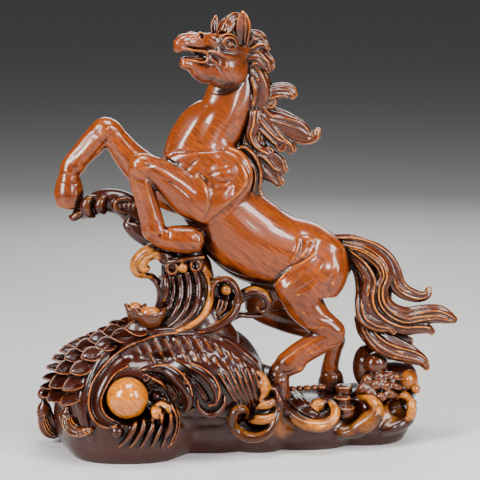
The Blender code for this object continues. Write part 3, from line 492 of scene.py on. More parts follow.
# Grooves and ridges of the muscles: points of the sheet, width and height, below zero for grooves
MUSCLES = (
    # Where the shoulder meets neck and barrel
    (((163, 160), (175, 153), (192, 151.5), (208, 151), (220, 149.5)), 1.6, -2.0),
    (((225, 149), (238, 156), (247, 168), (250, 180), (245, 191), (231, 205), (216, 217), (204, 227)),
     2.0, -2.6),
    (((228, 156), (240, 165), (245, 178), (240, 190), (228, 201), (214, 213)), 4.0, 1.2),
    # Folds across the shoulder
    (((200, 157), (193, 163), (186, 170)), 1.2, -1.8),
    (((166, 158), (176, 166), (187, 176), (194, 184)), 1.3, -1.6),
    (((160, 178), (172, 183), (184, 191), (195, 202)), 1.4, -1.4),
    (((176, 172), (188, 181), (197, 191)), 1.2, -1.1),
    (((199, 173), (206, 181), (210, 192), (211, 204)), 1.4, -2.6),
    (((196, 172), (208, 174), (220, 171), (230, 166)), 1.3, -1.8),
    (((213, 178), (222, 182), (233, 180)), 1.3, -1.4),
    (((216, 190), (224, 189), (233, 184)), 1.5, -1.3),
    (((211, 205), (208, 213), (203, 220)), 1.3, -1.6),
    # Neck
    (((207, 104), (199, 120), (188, 136), (178, 148)), 6.0, 1.2),
    (((222, 104), (211, 124), (202, 140)), 4.5, -1.2),
    (((236, 100), (229, 120), (218, 140)), 5.0, 0.9),
    (((207, 90), (219, 93), (232, 90), (243, 82)), 1.4, -1.3),
    # Near foreleg
    (((134, 170), (133, 185), (140, 205), (147, 222)), 1.6, -0.9),
    (((145, 178), (148, 195), (153, 212), (156, 224)), 2.4, 1.2),
    (((135, 160), (142, 166), (150, 166)), 1.5, -1.0),
    (((132, 175), (139, 180), (150, 178)), 1.3, -0.8),
    (((158, 231), (160, 238), (158, 244)), 1.1, -1.2),
    (((165, 226), (169, 233), (168, 243)), 1.0, -1.0),
    # Far foreleg
    (((112, 124), (98, 138), (84, 152), (74, 164)), 1.8, 1.2),
    (((104, 122), (92, 134), (78, 150), (68, 162)), 1.3, -1.1),
    (((112, 134), (100, 148), (88, 162)), 1.3, -1.1),
    (((116, 128), (124, 140), (134, 152), (142, 160)), 2.0, 0.9),
    (((60, 172), (70, 176), (80, 173)), 1.3, -1.2),
    (((58, 182), (69, 185), (82, 182)), 1.0, -0.8),
    # Flank folds
    (((299, 235), (298, 247), (293, 258), (286, 268)), 1.5, 1.5),
    (((302, 240), (301, 251), (296, 260)), 1.1, -1.2),
    (((307, 241), (305, 251), (297, 260), (289, 268)), 1.4, 1.2),
    (((316, 245), (312, 256), (298, 265), (286, 273), (277, 283), (273, 290)), 1.6, 1.8),
    (((313, 251), (302, 260), (290, 266), (280, 275), (273, 284)), 1.5, -1.6),
    (((304, 236), (311, 236), (315, 241), (311, 245)), 1.3, -0.9),
    # Thigh
    (((285, 290), (295, 281), (307, 271)), 2.2, 1.3),
    (((291, 296), (303, 288), (315, 280), (322, 270)), 1.8, -1.0),
    (((323, 262), (318, 276), (311, 290)), 3.0, 1.0),
    (((336, 266), (330, 285), (322, 300)), 2.2, -1.2),
    (((296, 306), (308, 312), (322, 318), (334, 322)), 1.6, -1.1),
    (((304, 326), (314, 328), (326, 327)), 1.6, 1.2),
    (((330, 340), (318, 346), (306, 353)), 1.5, -1.2),
    (((320, 337), (306, 345), (292, 355), (280, 364)), 2.2, 1.0),
    (((268, 371), (278, 373), (290, 372), (300, 366)), 1.2, -1.4),
    (((268, 377), (278, 379), (289, 377)), 1.0, -0.9),
    # Belly crease and far leg
    (((215, 262), (232, 273), (250, 279), (268, 283)), 2.5, -0.8),
    (((320, 343), (331, 346), (340, 343)), 1.4, -1.0),
    (((320, 372), (331, 374), (341, 371)), 1.3, -1.2),
)


def mark_muscles(body):
    """Muscles and folds on the body and legs."""
    for points, width, height in MUSCLES:
        body.mark(points, width, height)


# Dark stain on the hooves: middle and reach
HOOF_STAINS = (
    ((331, 388, 26), 15.0), ((277, 398, -27), 9.5), ((69, 210, 10), 9.0), ((197, 243, -36), 7.0),
)
# Fainter dark paint: painted shade on the head, along the mane, under the belly, behind the thigh and
# buttock, in the shoulder crease and where the legs meet the body; stain round the hooves: points, reach
# and level
FAINT_STAINS_AND_SHADE = (
    (((240, 44, -10), (222, 52, -12), (204, 50, -14), (188, 52, -16)), 24.0, 0.72),
    (((196, 256, -16), (222, 280, -16), (252, 292, -14), (284, 298, -14)), 15.0, 0.60),
    (((300, 284, -30), (298, 300, -30), (314, 318, -32), (332, 332, -34)), 13.0, 0.50),
    (((246, 84, -6), (252, 116, -6), (254, 150, -8)), 12.0, 0.60),
    (((184, 214, -30), (166, 204, -30), (158, 190, -34)), 8.0, 0.50),
    (((240, 172, -24), (244, 190, -24), (236, 208, -26)), 9.0, 0.50),
    (((72, 172, 6), (70, 186, 2), (68, 204, 0)), 12.0, 0.45),
    (((282, 372, -34), (278, 384, -36), (276, 394, -38)), 13.0, 0.75),
    (((186, 240, -40), (198, 241, -40)), 12.0, 0.45),
    (((338, 262, 0), (344, 286, 2), (338, 304, 0)), 12.0, 0.50),
)


def stain_and_shade_horse(stain_and_shade):
    """Dark paint on the horse: painted shade at the throat, also stained there, a darker far hind leg,
    stain on the hooves, and painted shade in creases and on undersides.
    """
    # Painted shade under the jaw at the throat, with a darker stain there too
    throat = np.array([(24, -46), (36, -46), (48, -44), (58, -41)], float)
    for near in (-4.0, 6.0):
        stain_and_shade.paint(from_head(throat[:, 0], throat[:, 1], near), 8.0)
    # Darker lower far hind leg
    leg = spline(FAR_THIGH[3:], 4)
    stain_and_shade.paint(from_sheet(*leg[:, :3].T), leg[:, 3] * 0.82)
    for middle, reach in HOOF_STAINS:
        stain_and_shade.paint([from_sheet(*middle)], reach)
    # Fainter painted shade in creases and undersides, and stain round the hooves
    for rows, reach, level in FAINT_STAINS_AND_SHADE:
        stain_and_shade.paint(from_sheet(*spline(rows, 6).T), reach, level)


def limb(rows, **options):
    """Loft laid along the head."""
    return tube(rows, place=from_head, facing=tuple(HEAD_NEAR), **options)


def mirrored(rows, side):
    """Rows of the head with their sideways place turned to one side."""
    return [(a, b, side * c) + tuple(rest) for a, b, c, *rest in rows]


# Head: rows are (ahead, up, sideways, half height, half thickness) from the poll
SKULL = (
    (-4, -13, 0, 13, 10), (8, -11, 0, 15.5, 12), (20, -8.5, 0, 14.5, 13), (31, -6.5, 0, 12.5, 11.5),
    (42, -4.4, 0, 10.5, 9.2), (53, -2.8, 0, 9, 8), (63.5, -2.4, 0, 8.8, 8.4), (72.5, -2.0, 0, 8.2, 8.2),
    (80, -2.4, 0, 7.4, 7.2), (85.5, -4.6, 0, 5.6, 5.6),
)
CHEEK = ((14, -24, 0, 15, 9), (30, -23, 0, 13, 9), (44, -18.5, 0, 9.5, 8.2), (52, -16, 0, 6.4, 7.8))
LOWER_JAW = (
    (14, -34, 0, 14, 9), (30, -34, 0, 13.5, 9), (43, -31.5, 0, 11.5, 8.5), (53, -31, 0, 10.5, 8),
    (61, -28.6, 0, 8.5, 7.4), (68, -25.0, 0, 6.2, 7), (74, -23.4, 0, 5.4, 6.4), (78, -22.8, 0, 4.8, 5.2),
)
LIPS = (
    (87, -10.0, 1.5, 2.2, 2.4), (81.5, -8.4, 5.8, 1.6, 2.0), (73, -9.8, 7.4, 1.4, 1.8),
    (62.5, -10.6, 8.2, 1.5, 1.8), (57.4, -12.8, 8.4, 1.8, 1.9), (55.8, -16.6, 8.2, 1.9, 1.9),
    (57.6, -20.2, 7.8, 1.6, 1.8), (63.5, -21.0, 7.4, 1.4, 1.7), (71, -19.8, 6.4, 1.5, 1.8),
    (77, -18.8, 3.8, 1.6, 1.9), (79.6, -18.6, 0.2, 1.6, 1.9),
)
TEETH = (
    (60, -18.2, 5.2, 1.2, 1.4), (67, -17.8, 5.0, 1.3, 1.5), (74, -17.2, 3.6, 1.3, 1.5),
    (77, -17.0, 0.4, 1.2, 1.4),
)
NEAR_EAR = (
    (12, -4, 9, 5.4, 4.2), (14.2, 7, 12, 7.2, 4.8), (16.4, 15, 14.6, 7.4, 4.6),
    (18.8, 22.4, 16.4, 4.8, 3.4), (20.4, 27.2, 17.2, 1.4, 1.6),
)
FAR_EAR = (
    (25, 1, -10.5, 6.4, 4.2), (26, 8.5, -13.5, 6.0, 4.4), (26.2, 15.5, -15.2, 4.4, 3.4),
    (25.6, 22, -16, 1.4, 1.5),
)


def head_field():
    """Skull, jaws, lips, eyes, nostrils and ears."""
    head = Field((-92, -92, 318), (38, 34, 440), HEAD_STEP)
    axes = (tuple(HEAD_FORWARD), tuple(HEAD_UP), tuple(HEAD_NEAR))
    head.join(limb(SKULL, ring=40))
    head.join(ball(from_head(84, -8.2, 0), (5.4, 3.2, 5.8), axes), 2.0)
    head.join(limb(CHEEK, ring=40), 4.0)
    head.join(limb(LOWER_JAW, ring=40), 2.0)
    for side in (-1.0, 1.0):
        head.join(ball(from_head(20.5, -28, 7.0 * side), (19, 16, 7.4), axes), 3.0)
        head.join(ball(from_head(30, -2.0, 9.5 * side), (9, 5.5, 4.2), axes), 3.0)
        head.join(limb(mirrored([
            (55, -11.2, 8.0, 2.0, 1.8), (47, -12, 9.0, 2.4, 2.2), (40, -14.4, 10, 2.6, 2.4),
            (30, -17, 11.2, 2.8, 2.4), (17, -18.5, 11.5, 2.6, 2.2),
        ], side)), 2.5)
        head.join(ball(from_head(67, 0.2, 5.6 * side), (8, 5.2, 4.4), axes), 3.0)
    # Open mouth: palate and floor hollowed out, then lips and teeth
    head.cut(limb([
        (59.5, -15.8, 0, 3.4, 6.2), (69, -14.8, 0, 4.4, 6.4), (78, -14.2, 0, 4.6, 6.4),
        (92, -14.4, 0, 4.2, 6.0),
    ]), 1.0)
    head.cut(limb([(63, -19.4, 0, 2.4, 4.6), (70, -19.4, 0, 2.8, 4.6), (75.5, -19.0, 0, 2.2, 3.2)]), 0.8)
    for side in (-1.0, 1.0):
        head.join(limb(mirrored(LIPS, side), ring=18), 1.2)
        head.join(limb(mirrored(TEETH, side), ring=14), 0.5)
    carve_eyes(head, axes)
    carve_nostrils(head, axes)
    carve_ears(head)
    head.soften()
    mark_face(head)
    return head


def carve_eyes(head, axes):
    """Eyeballs with their lids and the folds round them."""
    for side in (-1.0, 1.0):
        eye = from_head(30.6, -3.8, 12.0 * side)
        head.cut(ball(eye + HEAD_NEAR * side * 1.6, (7.6, 4.6, 3.4), axes), 1.0)
        head.join(ball(eye - HEAD_NEAR * side * 1.0, (4.6, 3.6, 3.6), axes), 0.3)
        upper = (
            (41.0, -2.6, 11.6), (38.4, 0.8, 12.6), (33.6, 2.4, 13.2), (28.2, 1.4, 13.2),
            (23.4, -2.4, 12.6), (20.8, -6.0, 11.6),
        )
        lower = (
            (39.6, -6.4, 11.4), (35.6, -8.6, 12.4), (30.4, -9.4, 12.8), (25.6, -8.4, 12.6),
            (22.4, -6.4, 12.0),
        )
        for shift, width in ((0.0, 1.2), (3.2, 0.9)):
            rows = [(
                30.6 + (a - 30.6) * (1.0 + 0.12 * shift), b + shift, c - 0.35 * shift, width, width * 1.1,
            ) for a, b, c in upper]
            head.join(limb(mirrored(rows, side), ring=16), 1.0)
        rows = [(a, b + 0.8, c - 0.3, 0.9, 1.0) for a, b, c in lower]
        head.join(limb(mirrored(rows, side), ring=16), 1.0)
        head.cut(ball(eye + HEAD_NEAR * side * 2.9, (1.5, 1.3, 1.2), axes), 0.3)


def carve_nostrils(head, axes):
    """Flared nostrils high on the muzzle, with the creases before them."""
    for side in (-1.0, 1.0):
        rim = (
            (59.6, 3.0, 6.6), (61.2, 5.4, 6.4), (64.8, 6.2, 6.4), (67.8, 4.8, 7.4), (67.8, 1.8, 8.6),
            (65.0, 0.2, 9.2),
        )
        head.join(limb(mirrored([(a, b, c, 1.5, 1.5) for a, b, c in rim], side), ring=16), 1.2)
        head.cut(ball(from_head(63.8, 3.4, 8.8 * side), (3.5, 2.6, 4.2), axes), 0.6)


def carve_ears(head):
    """Leaf-shaped ears, hollow towards the viewer, with a ridge inside."""
    for rows in (NEAR_EAR, FAR_EAR):
        head.join(tube(rows, place=from_head, ring=36), 1.2)
        inner = rows[:4] if len(rows) > 4 else rows[:3] + ((25.9, 19.0, -15.6, 2.8, 2.4),)
        hollow = [(a, b + 1.0, c, w * 0.82, 3.6) for a, b, c, w, t in inner]

        def before(a, b, c):
            return from_head(a, b, c) + np.array([-0.5, -4.0, -0.4])

        def inside(a, b, c):
            return from_head(a, b, c) + np.array([1.6, -0.6, 0.0])

        head.cut(tube(hollow, place=before, ring=28), 0.6)
        head.join(tube([
            (a, b + 1.0, c, 0.8, 1.2)
            for a, b, c, w, t in inner
        ], place=inside, ring=12), 0.8)


# Creases and hollows of the face, in the same form as the muscles
FACE_MARKS = (
    (((208, 52), (213, 50.8), (219, 53), (226, 57), (233, 58)), 1.2, 1.0),
    (((208, 57), (214, 56.4), (219, 60), (224, 65)), 2.0, -2.2),
    (((207, 40), (212, 43.5), (218, 46), (222, 49)), 3.2, -3.2),
    (((210, 36.5), (215, 39), (220, 41)), 1.4, -1.3), (((206, 47), (212, 49), (218, 51)), 1.4, -1.4),
    (((193.5, 35.6), (194.6, 39.6), (198.5, 43.2)), 0.8, -1.1),
    (((196.6, 36.2), (197.8, 39.6), (201.4, 42.4)), 0.7, -1.1),
    (((208.6, 49), (209.6, 56), (208.4, 63), (205.5, 68)), 1.5, -1.4),
    (((206, 66), (213, 64.5), (219.5, 68.5), (223, 76), (229, 83.5)), 2.0, -1.8),
    (((247.5, 56), (249.5, 66), (247.5, 77), (241, 84.5), (232, 87)), 1.5, -1.4),
    (((226, 64), (234, 66), (241, 62)), 4.0, 0.6),
    (((178, 45.6), (186, 43.6), (196, 46.4), (203, 47)), 1.6, 0.8),
    (((183, 41), (190, 39.4), (196, 41)), 1.6, -0.5),
)


def mark_face(head):
    """Creases and hollows round the eye, cheek and muzzle."""
    for points, width, height in FACE_MARKS:
        head.mark(points, width, height)


def twist(count, depth):
    """Profile with rounded strands and narrow grooves between them."""
    def profile(share, turn):
        wave = np.abs(np.sin(0.5 * count * turn))
        fade = np.clip(share * 6.0, 0.35, 1.0)
        return 1.0 - depth * fade * (1.0 - wave ** 0.5)
    return profile


def add_lock(hair, rows, strands, seed, place=from_sheet, facing=(0.0, 1.0, 0.0), swing=0.20):
    """Lock of hair carved as strands that lie side by side and run together at the tip."""
    rng = np.random.default_rng(seed)
    fine = spline(rows, 7)
    centre = place(*fine[:, :3].T)
    along, back, across = frames(centre, facing)
    wide, thick = fine[:, 3], fine[:, 4]
    share = np.linspace(0.0, 1.0, len(fine))
    hair.join(skin(centre, wide * 0.92, thick * 0.80, along, back, across, 20, None, (0.8, 0.8)))
    lean = rng.uniform(-0.5, 0.5)
    for j in range(strands):
        middle_share = (2.0 * j + 1.0) / strands - 1.0
        drift = swing * np.sin(2.0 * math.pi * (share * rng.uniform(0.7, 1.3) + rng.uniform()))
        offset = np.clip(middle_share + drift + lean * 0.12 * share, -0.95, 0.95)
        bow = np.sqrt(np.clip(1.0 - 0.82 * offset ** 2, 0.0, 1.0))
        middle = centre + across * (wide * offset * 0.84)[:, None]
        middle = middle + back * (thick * 0.22 * rng.uniform(-1.0, 1.0))[:, None]
        fat = np.maximum(wide / strands * rng.uniform(0.95, 1.5), 0.9)
        tall = np.maximum(thick * bow * rng.uniform(0.98, 1.16), 0.8)
        count = max(6, int(len(fine) * rng.uniform(0.88, 1.0))) if 0 < j < strands - 1 else len(fine)
        cut = slice(0, count)
        hair.join(skin(
            middle[cut], fat[cut], tall[cut], along[cut], back[cut], across[cut], 16, None, (0.9, 0.9),
        ), 1.0)


MANE_LOCKS = (
    ((244, 42, -8, 6, 6), (252, 36, -9, 6.4, 6), (259, 35.5, -9, 5, 5), (264, 38.5, -8, 3, 3.4)),
    ((246, 50, -9, 7, 6), (256, 44, -10, 7, 5.5), (263, 44.5, -9, 5.6, 5), (267.5, 49.5, -8, 3.6, 3.6)),
    ((246, 58, -10, 9, 6), (256, 57.5, -10, 9.4, 6), (265, 63.5, -9, 7.6, 5), (270, 70, -8, 3.8, 3.4)),
    (
        (250, 70, -10, 7, 6), (257, 78, -10, 9, 6), (261, 88, -9, 10, 6.4), (259, 98, -8, 9, 6),
        (254, 108, -7, 5, 4),
    ),
    (
        (259, 99, -6, 9, 6), (270, 94, -6, 8.4, 6), (282, 91.5, -5, 6.6, 5.4), (290, 93, -4, 5.4, 4.8),
        (293.5, 97, -4, 3, 3.2),
    ),
    ((251, 78, -9, 7, 6), (254, 92, -9, 8, 6), (254, 104, -8, 7, 5.5), (251, 114, -7, 4, 3)),
    (
        (256, 108, -6, 9, 6), (268, 120, -6, 11.4, 7), (282, 125, -5, 12.6, 7), (296, 132, -4, 11.4, 6),
        (307, 138, -3, 7, 4.6), (315, 137, -3, 4.6, 3.6), (316.5, 131, -3, 2.6, 2.4),
    ),
    (
        (254, 114, -9, 8, 6), (264, 126, -8, 8.4, 6), (276, 138, -7, 8.6, 6), (287, 145, -6, 7, 5.4),
        (292, 152, -5, 3, 3),
    ),
    (
        (254, 112, -12, 6, 5), (254, 124, -13, 6, 5), (251.6, 135, -13, 5, 4.6),
        (256, 146, -13, 5.2, 4.4), (264, 152, -12, 5, 4), (271, 156, -11, 2.8, 2.8),
    ),
    ((255, 150, -9, 9, 6.4), (266, 158, -8, 10, 6), (276, 165, -6, 8.6, 5.4), (283.5, 172, -5, 4.4, 4)),
    ((254, 160, -8, 9, 6), (264, 170, -7, 9, 5.6), (273, 177, -6, 7, 5), (280.5, 185, -5, 3.2, 3)),
    (
        (236, 153, -13, 5, 5), (244, 151.5, -15, 6, 5.4), (252, 158, -15, 7, 5.4),
        (257.5, 170, -14, 6.4, 5), (257, 182, -13, 5.4, 4.4), (255.5, 191, -12, 4.4, 3.6),
        (260, 199, -11, 2.6, 2.6),
    ),
    ((239, 158, -10, 6, 6), (246, 168, -11, 7, 6), (251, 180, -11, 6, 5), (252, 193, -10, 4, 3.4)),
)
MANE_RINGS = ((281, 146, -9, 4.2), (270, 102, -8, 5.0), (268.5, 151.5, -10, 3.6))
MANE_CORE = (
    (244, 42, 0, 9, 9), (249, 68, 0, 10, 10), (254, 96, -1, 10, 10), (254, 126, -2, 12, 12),
    (252, 154, -3, 14, 13), (256, 172, -3, 11, 9),
)
TAIL_LOCKS = (
    (
        (334, 241, 2, 8, 7), (352, 240.5, 1, 7.4, 7), (370, 247, -2, 8.4, 7), (384, 259, -4, 9.4, 7),
        (391, 272, -5, 9.6, 7), (396, 284, -5, 9, 6.4), (405, 292, -4, 8, 5.6), (418, 296, -2, 6.4, 5),
        (427, 294, 0, 4.6, 4.2), (429, 288, 1, 2.4, 2.4),
    ),
    (
        (344, 244, 0, 6, 6), (364, 250, -6, 7.4, 6), (380, 262, -9, 8.4, 6.4), (385, 275, -10, 8.4, 6.4),
        (381, 288, -11, 8.4, 6.4), (383, 301, -11, 9, 6.4), (392, 311, -10, 9.6, 6.4),
        (406, 316, -9, 10.4, 6.4), (421, 314, -7, 10.2, 6), (436, 313, -5, 9.6, 5.4),
        (448, 317, -4, 6.6, 4.4), (456, 320.5, -3, 2.6, 2.4),
    ),
    (
        (347, 250, 2, 7, 8), (362, 264, -3, 9, 8), (371, 280, -7, 9.4, 7.4), (370, 296, -9, 9.4, 7.4),
        (375, 310, -10, 9.4, 7), (388, 321, -10, 9, 6.4), (404, 327, -9, 8.4, 5.6),
        (419, 327.5, -8, 6.8, 5), (428, 329, -7, 4.8, 4.2), (433.5, 332.5, -6, 2.4, 2.4),
    ),
    (
        (350, 254, 7, 6, 8), (360, 272, 4, 6.6, 8), (363, 290, 0, 7.2, 8), (362, 305, -5, 7.6, 8),
        (365, 318, -9, 8, 7), (376, 325.5, -12, 7, 6), (388, 327.5, -13, 5.6, 5),
        (394.5, 332.5, -13, 2.8, 2.8),
    ),
    (
        (362, 316, 2, 9, 8), (369, 331, -2, 12, 8), (381, 342, -6, 13.5, 7.4),
        (396, 349.5, -7, 12.6, 6.6), (411, 355, -7, 10, 6), (422.5, 361, -6, 6.4, 5),
        (427.5, 369, -6, 2.8, 3),
    ),
    ((366, 312, 10, 10, 8), (378, 330, 8, 10, 8), (396, 338, 6, 9, 7), (411, 342, 4, 4.4, 4)),
)
TAIL_CORE = (
    (334, 243, 5, 8, 8), (354, 249, 4, 9, 8), (372, 264, 3, 11, 8), (379, 284, 2, 13, 8),
    (378, 306, 1, 14, 9), (382, 328, 1, 14, 9), (392, 346, 1, 9, 8),
)
FORELOCK = (
    (3, 8, 3.6, 4), (9, 17, 4.0, 5), (16, 20.5, 4.2, 5), (23.5, 16.5, 3.8, 4.6), (28.5, 8.5, 2.4, 3),
)


def mane_field():
    """Mane and forelock."""
    hair = Field((-36, -48, 205), (86, 44, 442), HAIR_STEP)
    hair.join(tube(MANE_CORE, ring=40, profile=twist(20, 0.14)))
    for i, rows in enumerate(MANE_LOCKS[2:]):
        far = [(a + 2.0, b - 2.0, 10.0 - d * 0.6, w, t) for a, b, d, w, t in rows]
        add_lock(hair, far, 4, 40 + i)
    for i, rows in enumerate(MANE_LOCKS):
        add_lock(hair, rows, max(3, int(round(max(r[3] for r in rows) / 2.3))), i)
    for across, down, depth, radius in MANE_RINGS:
        for turn_radius, thick in ((radius, 2.2), (radius * 0.4, 1.6)):
            rows = []
            for k in range(9):
                turn = math.radians(-60.0 + 42.0 * k)
                rows.append((
                    across + turn_radius * math.cos(turn), down + turn_radius * math.sin(turn), depth,
                    thick, 3.4,
                ))
            hair.join(tube(rows, steps=4, ring=14), 0.5)
    hair.join(ball(
        from_head(16, 9, 0), (11, 11, 8.5), (tuple(HEAD_FORWARD), tuple(HEAD_UP), tuple(HEAD_NEAR)),
    ))
    for i, side in enumerate((-7.5, -3.0, 2.0, 6.5)):
        drop = 0.25 * side * side * 0.25
        rows = [(a, b - drop, side * 0.95, w, t) for a, b, w, t in FORELOCK]
        add_lock(hair, rows, 3, 60 + i, place=from_head, facing=tuple(HEAD_UP), swing=0.05)
    return hair


def tail_field():
    """Tail locks over a core, smooth where the tail leaves the croup."""
    hair = Field((84, -36, 76), (230, 40, 238), HAIR_STEP)
    hair.join(tube(TAIL_CORE, ring=40, profile=twist(18, 0.14)))
    for i, rows in enumerate(TAIL_LOCKS[:3]):
        far = [(a - 1.0, b + 1.0, 14.0 - d * 0.5, w * 0.9, t) for a, b, d, w, t in rows]
        add_lock(hair, far, 4, 90 + i)
    for i, rows in enumerate(TAIL_LOCKS):
        add_lock(hair, rows, max(3, int(round(max(r[3] for r in rows) / 2.3))), 80 + i)
    return hair


# Masses of the base: middle (x, y, z), half sizes, in units
BASE_POWER = 2.4
BASE_MASSES = (
    ((-105.0, 6.0, 40.0), (80.0, 64.0, 76.0)), ((-112.0, -30.0, 36.0), (64.0, 58.0, 74.0)),
    ((-109.0, -14.0, 38.0), (74.0, 62.0, 76.0)), ((-150.0, 0.0, 34.0), (39.0, 46.0, 54.0)),
    ((-37.0, 2.0, 35.0), (66.0, 52.0, 86.0)), ((18.0, 0.0, 26.0), (36.0, 50.0, 52.0)),
    ((62.0, 6.0, 16.0), (58.0, 46.0, 34.0)), ((122.0, 20.0, 16.0), (52.0, 44.0, 35.0)),
)
# Masses that stand out over the foot: the face with the strokes and the right end
HIGH_MASSES = (((-36.0, -30.0, 69.0), (58.0, 42.0, 44.0)), ((158.0, 22.0, 56.0), (25.0, 24.0, 24.0)))
# Rim along the top of the face
RELIEF_RIM = (
    (132, 352, -50, 14, 14), (150, 345, -46, 15, 15), (178, 343, -42, 15, 15), (205, 345.5, -38, 14, 15),
    (228, 355, -36, 12, 14), (246, 369, -34, 10, 13), (258, 384, -32, 8, 12),
)


def foot_slab(centre, radii):
    """Plain foot under one mass of the base."""
    (cx, cy, cz), (rx, ry, rz) = centre, radii
    share = (1.0 - (cz / rz) ** BASE_POWER) ** (1.0 / BASE_POWER)
    turn = np.linspace(0.0, 2.0 * math.pi, 72, endpoint=False)
    flat = np.stack([np.cos(turn), np.sin(turn)], -1)
    flat /= ((np.abs(flat) ** BASE_POWER).sum(1) ** (1.0 / BASE_POWER))[:, None]
    outline = flat * [rx * share + 2.0, ry * DEEP_BASE * share + 2.0] + [cx, cy]
    top = FOOT_HEIGHT / UNIT
    points = np.vstack([
        np.column_stack([outline, np.full(72, -6.0)]), np.column_stack([outline, np.full(72, top)]),
        [[cx, cy, -6.0], [cx, cy, top]],
    ])
    k = np.arange(72)
    n = (k + 1) % 72
    quads = np.stack([k, n, 72 + n, 72 + k], -1)
    tris = np.vstack([
        np.stack([np.full(72, 144), n, k], -1), np.stack([np.full(72, 145), 72 + k, 72 + n], -1),
    ])
    return points, quads, tris


class Tint:
    """Coarse grid of where the varnish is rubbed back to gold, or stained dark, or darkened with painted
    shade.
    """

    def __init__(self, low, high, step=1.6):
        self.field = Field(low, high, step)
        self.field.data[:] = 0.0

    def paint(self, points, reach, level=1.0):
        """Colour near a line of points, fading out beyond the reach."""
        field = self.field
        for point, wide in zip(points, np.broadcast_to(reach, len(points))):
            span = wide * 1.6
            a = np.maximum(np.floor((point - span) / field.step).astype(int) - field.first, 0)
            b = np.minimum(
                np.ceil((point + span) / field.step).astype(int) - field.first,
                np.array(field.data.shape) - 1,
            )
            if (b < a).any():
                continue
            axes = [
                (np.arange(a[i], b[i] + 1) + field.first[i]) * field.step - point[i]
                for i in range(3)
            ]
            gap = np.sqrt(
                axes[0][:, None, None] ** 2 + axes[1][None, :, None] ** 2 + axes[2][None, None, :] ** 2
            )
            box = tuple(slice(int(a[i]), int(b[i]) + 1) for i in range(3))
            field.data[box] = np.maximum(
                field.data[box], level * np.clip((span - gap) / (0.8 * wide), 0.0, 1.0),
            )


def base_field(tint):
    """Scroll base with its carving, over a plain foot."""
    base = Field((-212, -100, -6), (190, 90, 150), BASE_STEP)
    for centre, (rx, ry, rz) in BASE_MASSES:
        base.join(ball(centre, (rx, ry * DEEP_BASE, rz), power=BASE_POWER, segments=72, rings=40), 5.0)
    for centre, radii in BASE_MASSES:
        base.join(foot_slab(centre, radii), 3.0)
    for centre, radii in HIGH_MASSES:
        base.join(ball(centre, radii, power=BASE_POWER, segments=72, rings=40), 6.0)
    base.join(tube(RELIEF_RIM, ring=40), 6.0)
    base.soften(2)
    carve_scroll(base)
    carve_leaves(base, tint)
    carve_right(base, tint)
    carve_back(base)
    base.soften()
    carve_strokes(base, tint)
    warm_foot(base, tint)
    base.foot(5.0, 17.0)
    return base


def ridge(field, rows, place=None, soft=0.7, ring=24, tint=None, reach=1.5, **options):
    """Loft laid on the carved front, rubbed to gold where a tint is given."""
    place = place or field.surface
    if tint is not None:
        fine = spline(rows, 4)
        tint.paint(place(*fine[:, :3].T), np.maximum(fine[:, 3], 1.0) * reach)
    field.join(tube(rows, place=place, ring=ring, **options), soft)


def gild(field, tint, points, lift, reach, level=1.0):
    """Rub a line on the carved front back to gold."""
    line = spline(points, 4)
    tint.paint(field.surface(line[:, 0], line[:, 1], lift), reach, level)


def knob(field, across, down, lift, size, soft):
    """Ball set on the carved front."""
    field.join(ball(field.surface(across, down, lift)[0], (size, size, size)), soft)


def sink(field, middle, radii, soft):
    """Round hollow sunk into the carved front."""
    field.cut(ball(field.surface(*middle, -1.0)[0], radii), soft)


def arc_rows(across, down, lift, radius, start, end, wide, thick, count=9, shrink=1.0):
    """Rows along an arc of the sheet, from one angle to another in degrees."""
    rows = []
    for k in range(count):
        share = k / (count - 1.0)
        turn = math.radians(start + (end - start) * share)
        size = radius * (1.0 + (shrink - 1.0) * share)
        rows.append((across + size * math.cos(turn), down + size * math.sin(turn), lift, wide, thick))
    return rows


# The arch band, as (across, down, half width), and the two fine lines inside it
ARCH = (
    (92, 438, 3.4), (85.5, 424, 5.6), (82.5, 409, 6.6), (83.5, 393, 7.0), (88, 376, 7.2),
    (97.5, 359, 7.0), (113.5, 343.5, 6.2), (136, 333.5, 5.2), (160, 330, 4.2), (186, 329, 3.6),
    (210, 332.5, 3.4), (234, 344, 3.2), (256, 362, 2.8),
)
FIRST_LINE = (
    (177, 332.6), (156, 335.4), (129, 345.6), (109, 360.4), (94, 380), (89, 397), (90, 411),
    (96.6, 422.6), (107, 427.6), (116, 426),
)
SECOND_LINE = ((128, 366), (115, 374), (106, 388), (101.4, 401), (104.6, 413), (113.6, 420), (123, 422.4))


def carve_scroll(base):
    """Arch band, hollow round the pearl, and the curls by the pearl."""
    # Smooth channel inside the arch band
    base.mark([
        (168, 341), (140, 349), (116, 363), (101, 384), (96, 402), (100, 416), (112, 424),
    ], 5.0, -3.6, taper=0.3)
    # Hollow that holds the pearl
    sink(base, (131, 399), (27, 13, 26), 2.0)
    sink(base, (158, 396), (19, 10, 15), 2.0)
    ridge(base, [
        (a, b, 1.0 if i > 1 else -5.0 + 4.0 * i, w, 7.6)
        for i, (a, b, w) in enumerate(ARCH)
    ], ring=32, soft=3.0)
    knob(base, 117, 432, 3.0, 6.4, 1.0)
    for line, lift, fat in ((FIRST_LINE, 2.0, 1.5), (SECOND_LINE, 1.0, 1.3)):
        rows = [(a, b, lift, fat, fat * 2.0) for a, b in line]
        ridge(base, rows, ring=16, soft=0.6)
    # Arcs and dark balls to the right of the pearl
    for radius in (12.0, 17.0, 21.5):
        ridge(base, arc_rows(157, 399, 0.6, radius, -128, -12, 1.2, 2.6), ring=14, soft=0.5)
    knob(base, 156, 397, 1.0, 6.0, 0.6)
    knob(base, 165, 399, 1.0, 4.4, 0.6)


